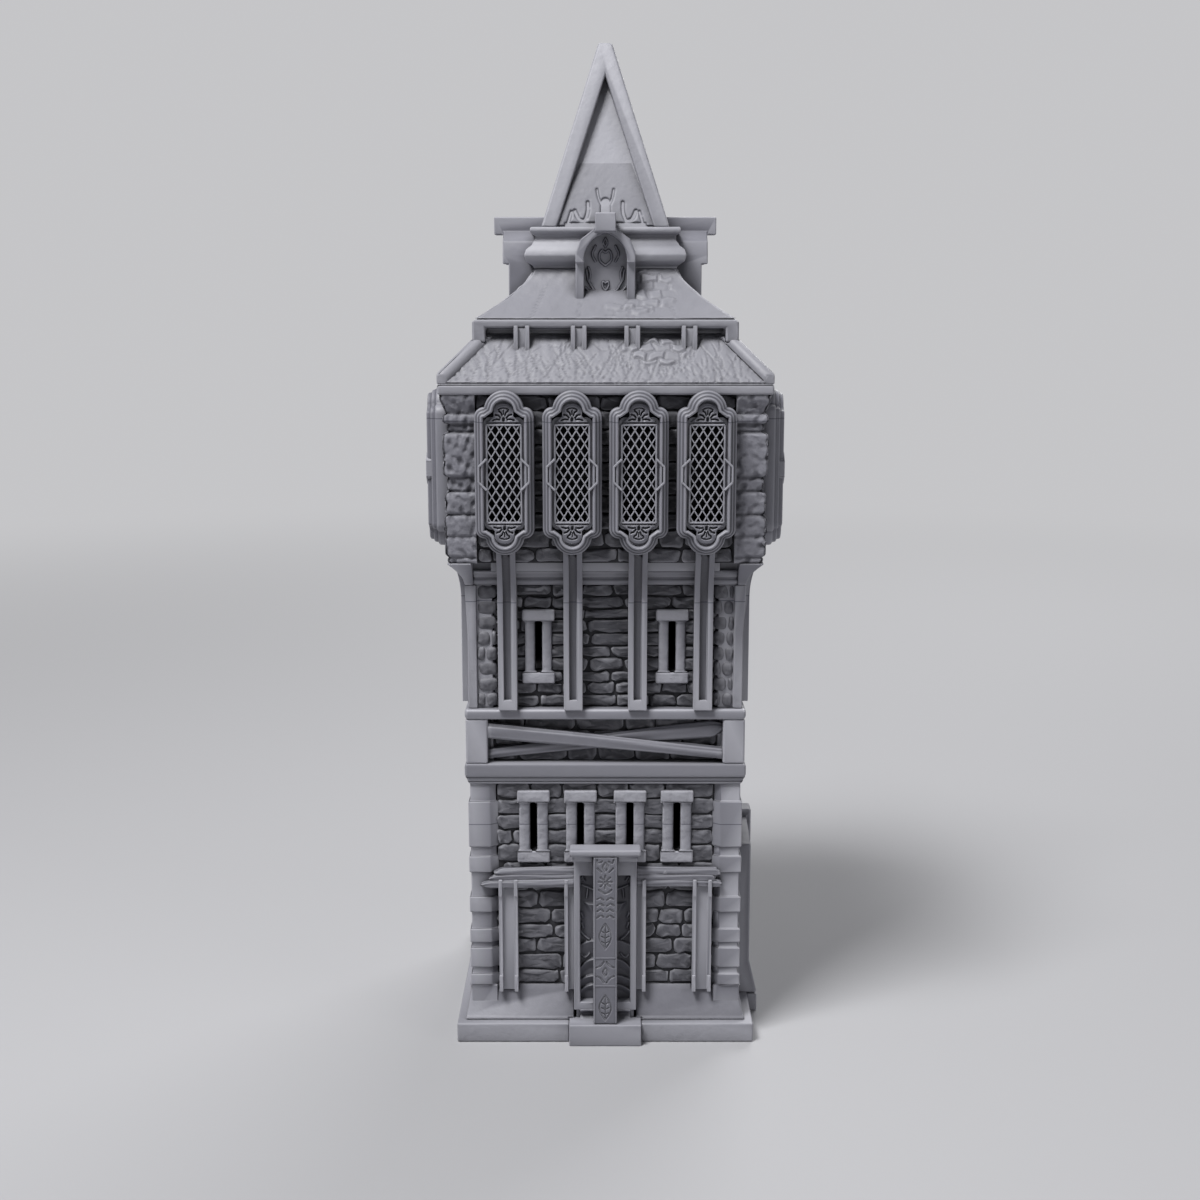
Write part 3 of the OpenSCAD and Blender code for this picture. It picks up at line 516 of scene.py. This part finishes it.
halfAcross, halfUp = windowLook["lattice"]
pitch = windowLook["pitch"][1]
slope = pitch / windowLook["pitch"][0]
latticeSpan = halfUp + slope * halfAcross
latticeStarts, latticeEnds = [], []
for lean in (-1, 1):
    for offset in np.arange(-latticeSpan, latticeSpan + 0.01, pitch) + pitch * 0.5:
        low = np.clip((np.array([-halfUp, halfUp]) - offset) / (slope * lean), -halfAcross, halfAcross)
        xa, xb = min(low), max(low)
        if xb - xa > 0.15:
            latticeStarts.append((xa, offset + slope * lean * xa))
            latticeEnds.append((xb, offset + slope * lean * xb))
borderStarts = [(-halfAcross, -halfUp), (halfAcross, -halfUp), (halfAcross, halfUp), (-halfAcross, halfUp)]
borderEnds = borderStarts[1:] + borderStarts[:1]
lugStarts = [(4.35, 3.9), (6.3, 1.95), (6.3, -1.95), (-4.35, 3.9), (-6.3, 1.95), (-6.3, -1.95)]
lugEnds = [(6.3, 1.95), (6.3, -1.95), (4.35, -3.9), (-6.3, 1.95), (-6.3, -1.95), (-4.35, -3.9)]

tympanumLook = dict(foot=13.0, height=4.7, base=4.25, lobe=2.45, face=44.9, depth=0.8, back=43.9)
heights = np.linspace(0, 1, 26)[:, None]
rise = heights * tympanumLook["height"]
flare = tympanumLook["base"] - (tympanumLook["base"] - tympanumLook["lobe"]) * np.clip(rise / 1.5, 0, 1) ** 0.6
dome = tympanumLook["lobe"] * np.sqrt(np.clip(1 - np.clip((rise - 2.5) / 2.2, 0, 1) ** 2.2, 0.002, 1))
width = np.where(rise < 2.5, flare, dome)
spread = np.linspace(-1, 1, 45)[None, :]
tx, tz = width * spread, rise + 0 * spread
holes = [([(0, 0.5), (0, 0.95)], 0.34), ([(0.95, 0.6), (1.7, 0.75), (2.6, 0.5)], 0.17),
         ([(0.75, 1.1), (1.3, 1.7), (2.0, 1.9)], 0.17),
         ([(0.35, 1.6), (0.6, 2.4), (1.2, 2.8)], 0.15), ([(0, 1.9), (0, 2.9)], 0.11),
         ([(0, 3.55), (0.7, 3.45), (1.3, 3.15)], 0.09)]
hole = np.zeros(tx.shape)
for points, half in holes:
    hole = np.maximum(hole, ridge(strokeDistance(np.abs(tx), tz, points), half, 0.12))
tympanumFace = tympanumLook["face"] - tympanumLook["depth"] * hole
for turn, side in enumerate(sideNames):
    bars, plates = [], []
    for centre in windowXs:
        shift = np.array([centre, windowLook["middle"]])
        for starts, ends, half, face in ((latticeStarts, latticeEnds, windowLook["bar"], windowLook["barFace"]),
                                         (borderStarts, borderEnds, windowLook["border"], windowLook["barFace"] + 0.15),
                                         (lugStarts, lugEnds, windowLook["lug"], windowLook["lugFace"])):
            bars.append(barRings(np.array(starts) + shift, np.array(ends) + shift, half, face, windowLook["barBack"], turn))
        for way in (1, -1):
            z = windowLook["middle"] + way * (tympanumLook["foot"] + tz)
            plates.append(slabRings(centre + tx * way, tympanumFace, z, tympanumLook["back"], turn))
    loftPiece(f"{side}_window_lattices", bars, "carving", smooth=False)
    loftPiece(f"{side}_window_tympana", plates, "carving")
print("window lattices and tympana made")

shadowSheetLook = dict(inside=35.75, thick=0.4, half=5.6, up=13.8)  # near-black sheets on the inside of the wall: painted shade behind the windows
rings = []
for turn in allSides:
    for centre in windowXs:
        x = centre + np.linspace(-shadowSheetLook["half"], shadowSheetLook["half"], 6)[None, :] + np.zeros((6, 1))
        z = windowLook["middle"] + np.linspace(-shadowSheetLook["up"], shadowSheetLook["up"], 6)[:, None] + np.zeros((1, 6))
        rings.append(slabRings(x, shadowSheetLook["inside"] + 0.1 * np.cos(x), z, shadowSheetLook["inside"] - shadowSheetLook["thick"], turn))
loftPiece("window_shadow_sheets", rings, "paintedShadowSheet")


quoinLook = dict(inner=33.0, foot=131.3, levels=(0, 1.8, 7, 12.6, 18.5, 22.4, 33.5, 35.8, 38.3, 42.1, 43.1),
                 halves=(40.5, 41.0, 41.1, 40.9, 40.3, 41.2, 40.2, 41.2, 41.0, 41.8, 41.8), rows=110, side=22, pits=0.4,
                 capitalFoot=38.3, capitalMiddle=40.3, outermost=41.85)
q = quoinLook
up = np.linspace(0, q["levels"][-1], q["rows"])[:, None]
band = np.clip(np.searchsorted(q["levels"], up, side="right") - 1, 0, len(q["levels"]) - 2)
halves, levels = np.array(q["halves"]), np.array(q["levels"])
into = np.minimum(up - levels[band], levels[band + 1] - up)
flare = np.clip((up - q["capitalFoot"]) / 3.8, 0, 1)
reach = np.where(up < q["capitalFoot"], halves[band] - 0.75 * np.exp(-into / 0.28), 40.3 + 1.5 * flare)
rings = []
for turn in allSides:
    share = np.linspace(0, 1, q["side"])[None, :]
    # the outer faces of one corner: along the right face upward, then back along the front one
    a = q["inner"] + (reach - q["inner"]) * share
    faceA = reach - q["pits"] * np.clip(ripple(a, up, 3.2, 301 + turn) - 0.1, 0, 1.6) - 0.3 * np.clip(share - 0.93, 0, 1) / 0.07
    faceB = reach - q["pits"] * np.clip(ripple(a, up, 3.2, 331 + turn) - 0.1, 0, 1.6) - 0.3 * np.clip(share - 0.93, 0, 1) / 0.07
    vee = ridge(np.abs(np.abs(up - q["capitalMiddle"]) - 0.35 * (39.5 - a)), 0.12, 0.12) * (a < 39.4) * (up > 38.4)
    faceA, faceB = np.minimum(faceA + 0.3 * vee, q["outermost"]), np.minimum(faceB + 0.3 * vee, q["outermost"])
    x = np.concatenate([a, faceB[:, ::-1], np.full((q["rows"], 1), q["inner"])], 1)
    p = np.concatenate([faceA, a[:, ::-1], np.full((q["rows"], 1), q["inner"])], 1)
    rings.append(place(x, p, q["foot"] + up + 0 * x, turn)[None])
quoins = loftPiece("weathered_quoins", rings, "weathered")
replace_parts(quoins, "upper_corner_piers")
print("corner piers weathered")


def roofRings(halfOf, lift, low, high, margin, turn, height, rows=60, columns=150):
    # a sheet that follows the slope: across is a share of the roof's half width at that height
    z = np.linspace(low, high, rows)[:, None]
    half = halfOf(z)
    x = np.linspace(-1, 1, columns)[None, :] * (half - margin)
    slope = np.gradient(half[:, 0], z[:, 0])[:, None]
    steep = np.sqrt(1 + slope ** 2)
    h = lift + height(x, z, turn)
    return slabRings(x, half + h / steep, z - h * slope / steep, half - 0.4, turn)


def brokenStones(x, z, centre, size, course, seed, length=4.1):
    # stepped stones inside a ragged patch: raised blocks with sunk joints
    inside = ridge(np.hypot((x - centre[0]) / size[0], (z - centre[1]) / size[1]) + 0.16 * ripple(x, z, 5, seed), 0.9, 0.08)
    x, z = x + 0.5 * ripple(x, z, 7, seed + 1), z + 0.3 * ripple(x, z, 6, seed + 2)
    row = np.floor((z - centre[1]) / course)
    shift = (row * 2.7) % length
    across = (x + shift) / length % 1
    upward = (z - centre[1]) / course % 1
    joint = np.minimum(np.minimum(across, 1 - across) * length, np.minimum(upward, 1 - upward) * course * 1.4)
    block = np.clip(joint / 0.5, 0, 1) ** 0.6
    return inside, block * (0.65 + 0.3 * np.sin(row * 2.3 + np.floor((x + shift) / length) * 1.7))


def crackLines(seed, count, low, high, half):
    # chains that wander upward and branch into a V
    rng = np.random.default_rng(seed)
    lines = []
    for i in range(count):
        x = rng.uniform(-half, half)
        z = rng.uniform(low - 1, low + 0.45 * (high - low))
        points = [(x, z)]
        drift = rng.uniform(-0.9, 0.9)
        for step in range(rng.integers(3, 6)):
            x, z = x + drift + rng.uniform(-0.6, 0.6), z + rng.uniform(0.9, 2.2)
            points.append((x, z))
        lines.append(points)
        if rng.random() < 0.6:
            base = points[1]
            lines.append([base, (base[0] - drift + rng.uniform(-1, 1), base[1] + 1.8),
                          (base[0] - 2 * drift + rng.uniform(-1, 1), base[1] + 3.6)])
    return lines


lowRoof = dict(foot=177.25, top=188.6, lift=0.42, cracks=70, patch=(12.5, 184.6), patchSize=(8.6, 3.4),
               vees=(-30, -15, -2, 17, 30), webs=9, spokes=5)
lowHalf = lambda z: 42.3 - (z - 177.0)


def thatchHeight(x, z, turn):
    # cracks and web lines sunk into the sheet, fine speckle toward the eave, broken stones in one patch
    lines = crackLines(200 + turn, lowRoof["cracks"], lowRoof["foot"], lowRoof["top"], 38)
    sunk = np.zeros(x.shape)
    for points in lines:
        sunk = np.maximum(sunk, ridge(strokeDistance(x, z, points), 0.05, 0.15))
    rays = [ridge(strokeDistance(x, z, [(c, 178.2), (c + s * 3.4, 183.5), (c + s * 7.5, 187.8)]), 0.08, 0.14)
            for c in lowRoof["vees"] for s in (-1, 1)]
    rng = np.random.default_rng(270 + turn)
    centres = zip(rng.uniform(-30, 30, lowRoof["webs"]), rng.uniform(180.5, 186, lowRoof["webs"]))
    for cx, cz in centres:  # webs: short spokes round a point
        for w in rng.uniform(0, 2 * pi, lowRoof["spokes"]):
            tip = (cx + rng.uniform(2.5, 6) * np.cos(w), cz + rng.uniform(1.5, 3) * np.sin(w))
            rays.append(ridge(strokeDistance(x, z, [(cx, cz), tip]), 0.03, 0.13))
    sunk = np.maximum(sunk, 0.8 * np.max(rays, 0))
    speckle = np.clip(ripple(x, z, 1.5, 211 + turn) - 0.55, 0, 1) * np.clip((186 - z) / 8, 0.15, 1)
    inside, block = brokenStones(x, z, lowRoof["patch"], lowRoof["patchSize"], 1.9, 220 + turn)
    return (1 - inside) * (0.05 * ripple(x, z, 3.5, 5) - 0.38 * sunk - 0.3 * speckle) + inside * (0.9 * block - 0.3)


for turn, side in enumerate(sideNames):
    rings = roofRings(lowHalf, lowRoof["lift"], lowRoof["foot"], lowRoof["top"], 2.2, turn, thatchHeight, 50, 210)
    loftPiece(f"{side}_lower_roof_cover", rings, "roof")
print("lower roof covered")

highRoof = dict(foot=192.9, top=205.5, lift=0.35, battens=(-19, -7, 7.5, 18), patch=(12.0, 200.0), patchSize=(6.5, 6.0))
highHalf = lambda z: 18.6 + 14.7 * np.clip(1 - (z - 192.7) / 13, 0, 1) ** 1.5


def bellHeight(x, z, turn):
    # faint upright battens, and a broken patch beside the dormer with a few stones below its foot
    batten = np.zeros(x.shape)
    for across in highRoof["battens"]:
        lean = across * (1 - 0.3 * (z - highRoof["foot"]) / 13)
        batten = np.maximum(batten, ridge(np.abs(np.abs(x - lean) - 0.35), 0.06, 0.14) * np.clip((203 - z) / 4, 0, 1))
    inside, block = brokenStones(x, z, highRoof["patch"], highRoof["patchSize"], 2.1, 240 + turn)
    low, lowBlock = brokenStones(x, z, (5.0, 195.2), (7.5, 2.2), 1.5, 250 + turn)
    inside, block = np.maximum(inside, low), np.where(low > inside, lowBlock, block)
    return (1 - inside) * (0.05 * ripple(x, z, 4, 7) - 0.28 * batten) + inside * (0.7 * block - 0.3)


for turn, side in enumerate(sideNames):
    rings = roofRings(highHalf, highRoof["lift"], highRoof["foot"], highRoof["top"], 0.3, turn, bellHeight, 48, 140)
    loftPiece(f"{side}_upper_roof_cover", rings, "roof")
print("upper roof covered")


def relief(x, z, strokes, soft=0.1):
    # the highest of all strokes, drawn once and mirrored across the middle
    total = np.zeros(x.shape)
    for points, half in strokes:
        total = np.maximum(total, ridge(strokeDistance(np.abs(x), z, rounded(points)), half, soft))
    return total


postLook = dict(half=2.95, foot=6.3, top=52.9, face=41.5, lift=0.6)
x = np.linspace(-postLook["half"], postLook["half"], 61)[None, :]
z = np.linspace(postLook["foot"], postLook["top"], 320)[:, None]
x, z = x + 0 * z, z + 0 * x
def leafStrokes(z0, half, reach):
    # a pointed leaf: two bowed sides that meet at the tips, a midrib and three pairs of veins
    veins = [([(0, z0 + k * half), (0.62 * reach, z0 + k * half + 0.5)], 0.1) for k in (-0.55, -0.15, 0.25)]
    sides = ([(0, z0 - half), (reach, z0 - 0.3 * half), (reach, z0 + 0.3 * half), (0, z0 + half)], 0.15)
    return [sides, ([(0, z0 - half), (0, z0 + half)], 0.1)] + veins


def flowerStrokes(z0, inner, outer):
    # a boss with eight petals round it, drawn for the right half
    petals = [([(inner * np.cos(w), z0 + inner * np.sin(w)), (outer * np.cos(w), z0 + outer * np.sin(w))], 0.22)
              for w in radians(45) * np.arange(-2, 3)]
    return petals + [([(0, z0), (0.05, z0)], 0.34)]


sunkWork = [
    ([(0, 49.2), (0.9, 50.4), (0, 51.6)], 0.2), ([(1.1, 49.0), (2.1, 50.0)], 0.2),
    ([(0.9, 51.9), (1.9, 51.2), (2.2, 52.3)], 0.18),
    ([(0, 43.0), (0.9, 43.3), (1.6, 44.0)], 0.24), ([(0.5, 41.2), (1.3, 41.9), (2.1, 41.4)], 0.2),
    ([(0.5, 39.6), (1.4, 40.3), (2.2, 39.6)], 0.22),
    ([(0.5, 38.0), (1.2, 38.7), (2.1, 38.0)], 0.2), ([(0.5, 36.4), (1.2, 37.0), (2.2, 36.2)], 0.2),
    ([(0.4, 23.8), (1.2, 22.6), (2.3, 22.2)], 0.22), ([(0.4, 18.0), (1.2, 19.3), (2.3, 19.7)], 0.22),
    ([(0, 22.2), (0.8, 21.0), (0, 19.8)], 0.18),
] + flowerStrokes(46.2, 0.75, 1.75) + leafStrokes(31.0, 3.6, 1.6) + leafStrokes(10.8, 3.6, 1.6)
crossRims = np.maximum(ridge(np.abs(z - 24.9), 0.25, 0.15), ridge(np.abs(z - 17.0), 0.25, 0.15))
edgeRims = ridge(postLook["half"] - np.abs(x), 0.3, 0.12)
p = postLook["face"] + postLook["lift"] * np.maximum(np.maximum(crossRims, edgeRims), 0.7 * (1 - relief(x, z, sunkWork)))
loftPiece("portal_post_carving", slabRings(x, p, z, 41.3, 0), "carving")

sideLook = dict(low=3.15, high=6.7, foot=10.9, top=46.6, face=35.85, lift=0.85)
rings = []
# each strap as (top level, drop outward, depth)
sideStraps = ((15.0, 1.6, 1.7), (17.6, 1.2, 2.2), (22.3, 2.4, 2.6), (27.6, 1.2, 4.4), (38.0, -0.7, 5.2))
sprigs = [([(3.2, 42.1), (4.4, 42.6), (6.1, 43.3)], 0.2), ([(4.7, 42.4), (5.0, 39.8)], 0.22),
          ([(4.3, 28.0), (5.6, 29.0), (6.5, 30.2)], 0.22),
          ([(5.9, 31.4), (6.3, 32.6)], 0.3), ([(6.0, 34.4), (6.4, 35.4)], 0.3), ([(5.6, 44.6), (6.2, 45.6)], 0.26),
          ([(4.2, 24.0), (5.4, 22.6), (6.4, 23.6)], 0.2)]


def strapHeight(x, z):
    # each strap bends down away from the post, highest at its upper edge and thinning below it
    away = (np.abs(x) - sideLook["low"]) / (sideLook["high"] - sideLook["low"])
    total = relief(x, z, sprigs, soft=0.3)
    for top, drop, depth in sideStraps:
        below = top - drop * away ** 2 - z
        shape = np.clip(below / 0.3 + 1, 0, 1) * np.clip(1 - below / depth, 0, 1)
        if drop < 0:  # the one wing narrows to a point at its foot
            shape = shape * np.clip(3 * (0.75 * (1 - below / depth) - away), 0, 1)
        total = np.maximum(total, shape)
    return total


for side in (-1, 1):
    x = side * np.linspace(sideLook["low"], sideLook["high"], 44)[None, :]
    z = np.linspace(sideLook["foot"], sideLook["top"], 220)[:, None]
    x, z = x + 0 * z, z + 0 * x
    p = sideLook["face"] + sideLook["lift"] * strapHeight(x, z)
    rings.append(slabRings(x, p, z, 35.5, 0))
loftPiece("portal_strapwork", rings, "carving")

# a hollow-faced block closes the gap between the step and the portal's sill, on both sides of the post
footLook = dict(low=3.1, high=6.8, foot=5.5, top=8.7, face=38.6, hollow=1.4)
rings = []
for side in (-1, 1):
    x = side * np.linspace(footLook["low"], footLook["high"], 6)[None, :]
    z = np.linspace(footLook["foot"], footLook["top"], 14)[:, None]
    x, z = x + 0 * z, z + 0 * x
    p = footLook["face"] - footLook["hollow"] * np.sin(pi * (z - footLook["foot"]) / (footLook["top"] - footLook["foot"])) ** 2
    rings.append(slabRings(x, p, z, 35.0, 0))
loftPiece("portal_foot_blocks", rings, "carving")
print("portal carved")

dormerLook = dict(half=5.4, foot=196.4, top=214.6, face=22.7, lift=0.7)
dormerWork = [
    ([(0, 206.5), (1.5, 207.6), (1.7, 209.2), (0.9, 210.6), (0.2, 209.9)], 0.2),
    ([(0.0, 211.2), (0.6, 212.2), (0.0, 213.4)], 0.16),
    ([(2.6, 207.6), (3.6, 209.4), (2.6, 211.4)], 0.2), ([(4.4, 206.0), (3.8, 204.4), (4.2, 202.6)], 0.2),
    ([(4.9, 205.4), (4.6, 203.2)], 0.16),
    ([(0, 200.0), (0.9, 201.4), (0.7, 202.6), (0, 202.0)], 0.2), ([(1.6, 199.0), (3.0, 200.2), (4.6, 203.0)], 0.24),
    ([(2.3, 199.6), (2.9, 199.9)], 0.3),
    ([(0, 197.6), (1.8, 198.0), (3.6, 199.0), (5.2, 201.0)], 0.22), ([(0, 198.0), (0.1, 200.0)], 0.16),
    ([(3.9, 197.4), (4.7, 198.4)], 0.35),
]
rings = []
for turn in allSides:
    x = np.linspace(-dormerLook["half"], dormerLook["half"], 60)[None, :]
    z = np.linspace(dormerLook["foot"], dormerLook["top"], 100)[:, None]
    narrow = np.sqrt(np.clip(1 - np.clip((z - 208) / 7.2, 0, 1) ** 2, 0.02, 1))
    x, z = x * narrow, z + 0 * x
    p = dormerLook["face"] + dormerLook["lift"] * relief(x, z, [(line, wide + 0.08) for line, wide in dormerWork], soft=0.16)
    rings.append(slabRings(x, p, z, 22.2, turn))
# the tracery takes the darker recess tone as painted shade
loftPiece("dormer_tracery", rings, "recessPaintedShade")

# a smooth plate lies on each spire face, and joined hollows leave tongues hanging along its foot
spireLook = dict(foot=217.0, top=234.0, base=15.4, apex=259.4, start=216.4, lift=0.6, fade=9.0)
spireHollows = [
    ([(0, 217.2), (0, 222.8)], 1.3), ([(1.1, 222.4), (1.9, 224.2), (2.2, 226.2)], 0.3), ([(0, 217.2), (10.2, 217.2)], 0.5),
    ([(4.6, 222.8), (4.5, 220.4), (5.4, 218.0)], 0.45), ([(5.4, 218.0), (7.0, 218.3), (8.0, 220.6)], 0.5),
    ([(9.8, 217.4), (8.9, 220.4)], 0.4),
]
rings = []
for turn in allSides:
    z = np.linspace(spireLook["foot"], spireLook["top"], 80)[:, None]
    half = spireLook["base"] * (spireLook["apex"] - z) / (spireLook["apex"] - spireLook["start"])
    x = np.linspace(-1, 1, 100)[None, :] * (half - 2.6)
    z = z + 0 * x
    plate = (1 - relief(x, z, spireHollows, soft=0.35)) * np.clip((spireLook["top"] - z) / spireLook["fade"], 0, 1) ** 0.7
    rings.append(slabRings(x, half - 0.12 + spireLook["lift"] * plate, z, half - 0.4, turn))
loftPiece("spire_relief", rings, "roof")

# four splintered beam ends stand at the tip, and the guessed side door has upright boards
tipLook = dict(foot=261.0, top=264.5, spread=1.05, half=0.72)
levels, around = np.linspace(0, 1, 7)[:, None], np.linspace(0, 2 * pi, 14, endpoint=False)[None, :]
ends = []
for i, (sx, sp) in enumerate(((-1, -1), (1, -1), (1, 1), (-1, 1))):
    radius = tipLook["half"] * (1 - 0.55 * np.clip((levels - 0.8) / 0.2, 0, 1)) * (1 + 0.1 * np.sin(5 * around + i))
    x = sx * tipLook["spread"] + radius * np.cos(around)
    p = sp * tipLook["spread"] + radius * np.sin(around)
    z = tipLook["foot"] + (tipLook["top"] - tipLook["foot"] - 0.3 * (i % 2)) * levels
    ends.append(place(x, p, z, 0)[None])
loftPiece("spire_tip_splinters", ends, "hewn")

doorLook = dict(half=12.7, foot=5.6, top=43.7, spring=41, face=37.35, board=3.6)
z = np.linspace(doorLook["foot"], doorLook["top"], 120)[:, None]
x = np.linspace(-1, 1, 150)[None, :] * doorLook["half"] * np.sqrt(1 - np.clip((z - doorLook["spring"]) / 3.3, 0, 0.95) ** 2)
z = z + 0 * x
edge = np.abs((x / doorLook["board"] + 0.5) % 1 - 0.5) * doorLook["board"]
strap = np.maximum(ridge(np.abs(z - 13.5), 1.0, 0.15), ridge(np.abs(z - 33.0), 1.0, 0.15))
grainLines = 0.05 * ripple(x * 3, z * 0.25, 2.2, 401)
board = 0.55 - 0.4 * ridge(np.abs(edge), 0.12, 0.15) + grainLines
rings = slabRings(x, doorLook["face"] + np.maximum(board, strap), z, doorLook["face"] - 0.3, 1)
loftPiece("side_door_boards", rings, "hewn")
print("dormers, spire and door carved")


view = dict(lens=50, sensor=36, pitch=10.5, place=(-0.0014, -0.462, 0.200))
camera = bpy.data.objects.new("camera", bpy.data.cameras.new("camera"))
camera.data.lens = view["lens"]
camera.data.sensor_width = view["sensor"]
camera.data.clip_start = 0.01
camera.location = view["place"]
camera.rotation_euler = (radians(90 - view["pitch"]), 0, 0)
scene.collection.objects.link(camera)
scene.camera = camera

lamps = dict(
    key=dict(place=(-0.34, -0.4, 1.0), size=0.34, power=12.5),
    fill=dict(place=(0.8, -0.5, 0.35), size=0.5, power=1.3),
    rim=dict(place=(0.35, 0.8, 0.7), size=0.6, power=6.0),
)
for name, lamp in lamps.items():
    light = bpy.data.lights.new(name, "AREA")
    light.size = lamp["size"]
    light.energy = lamp["power"]
    obj = bpy.data.objects.new(name, light)
    obj.location = lamp["place"]
    obj.rotation_euler = (mathutils.Vector((0, 0, 0.13)) - mathutils.Vector(lamp["place"])).to_track_quat("-Z", "Y").to_euler()
    scene.collection.objects.link(obj)

pale = dict(floor=(0.44, 0.44, 0.455), distance=(0.56, 0.56, 0.575), near=0.12, far=1.15, light=0.11)
world = bpy.data.worlds.new("studio")
scene.world = world
world.use_nodes = True
nodes, links = world.node_tree.nodes, world.node_tree.links
nodes["Background"].inputs["Color"].default_value = (0.92, 0.93, 1, 1)
nodes["Background"].inputs["Strength"].default_value = pale["light"]
behind, chosen = nodes.new("ShaderNodeBackground"), nodes.new("ShaderNodeMixShader")
behind.inputs["Color"].default_value = (*pale["distance"], 1)
links.new(nodes.new("ShaderNodeLightPath").outputs["Is Camera Ray"], chosen.inputs[0])
links.new(nodes["Background"].outputs[0], chosen.inputs[1])
links.new(behind.outputs[0], chosen.inputs[2])
links.new(chosen.outputs[0], nodes["World Output"].inputs["Surface"])
scene.view_settings.view_transform = "Standard"

floorMesh = bpy.data.meshes.new("studio_floor")
floorMesh.from_pydata([(-9, -9, 0), (9, -9, 0), (9, 9, 0), (-9, 9, 0)], [], [(0, 1, 2, 3)])
paper = bpy.data.materials.new("pale_paper")
paper.use_nodes = True
nodes, links = paper.node_tree.nodes, paper.node_tree.links
nodes["Principled BSDF"].inputs["Base Color"].default_value = (*pale["floor"], 1)
nodes["Principled BSDF"].inputs["Roughness"].default_value = 0.85
span, haze, seen = nodes.new("ShaderNodeVectorMath"), nodes.new("ShaderNodeMapRange"), nodes.new("ShaderNodeMath")
span.operation, haze.interpolation_type, seen.operation = "LENGTH", "SMOOTHSTEP", "MULTIPLY"
haze.inputs["From Min"].default_value, haze.inputs["From Max"].default_value = pale["near"], pale["far"]
links.new(nodes.new("ShaderNodeTexCoord").outputs["Object"], span.inputs[0])
links.new(span.outputs["Value"], haze.inputs["Value"])
links.new(haze.outputs["Result"], seen.inputs[0])
links.new(nodes.new("ShaderNodeLightPath").outputs["Is Camera Ray"], seen.inputs[1])
glow, mixed = nodes.new("ShaderNodeEmission"), nodes.new("ShaderNodeMixShader")
glow.inputs["Color"].default_value = (*pale["distance"], 1)
links.new(seen.outputs[0], mixed.inputs[0])
links.new(nodes["Principled BSDF"].outputs[0], mixed.inputs[1])
links.new(glow.outputs[0], mixed.inputs[2])
links.new(mixed.outputs[0], nodes["Material Output"].inputs["Surface"])
floorMesh.materials.append(paper)
floor = bpy.data.objects.new("studio_floor", floorMesh)
scene.collection.objects.link(floor)
print("studio set")
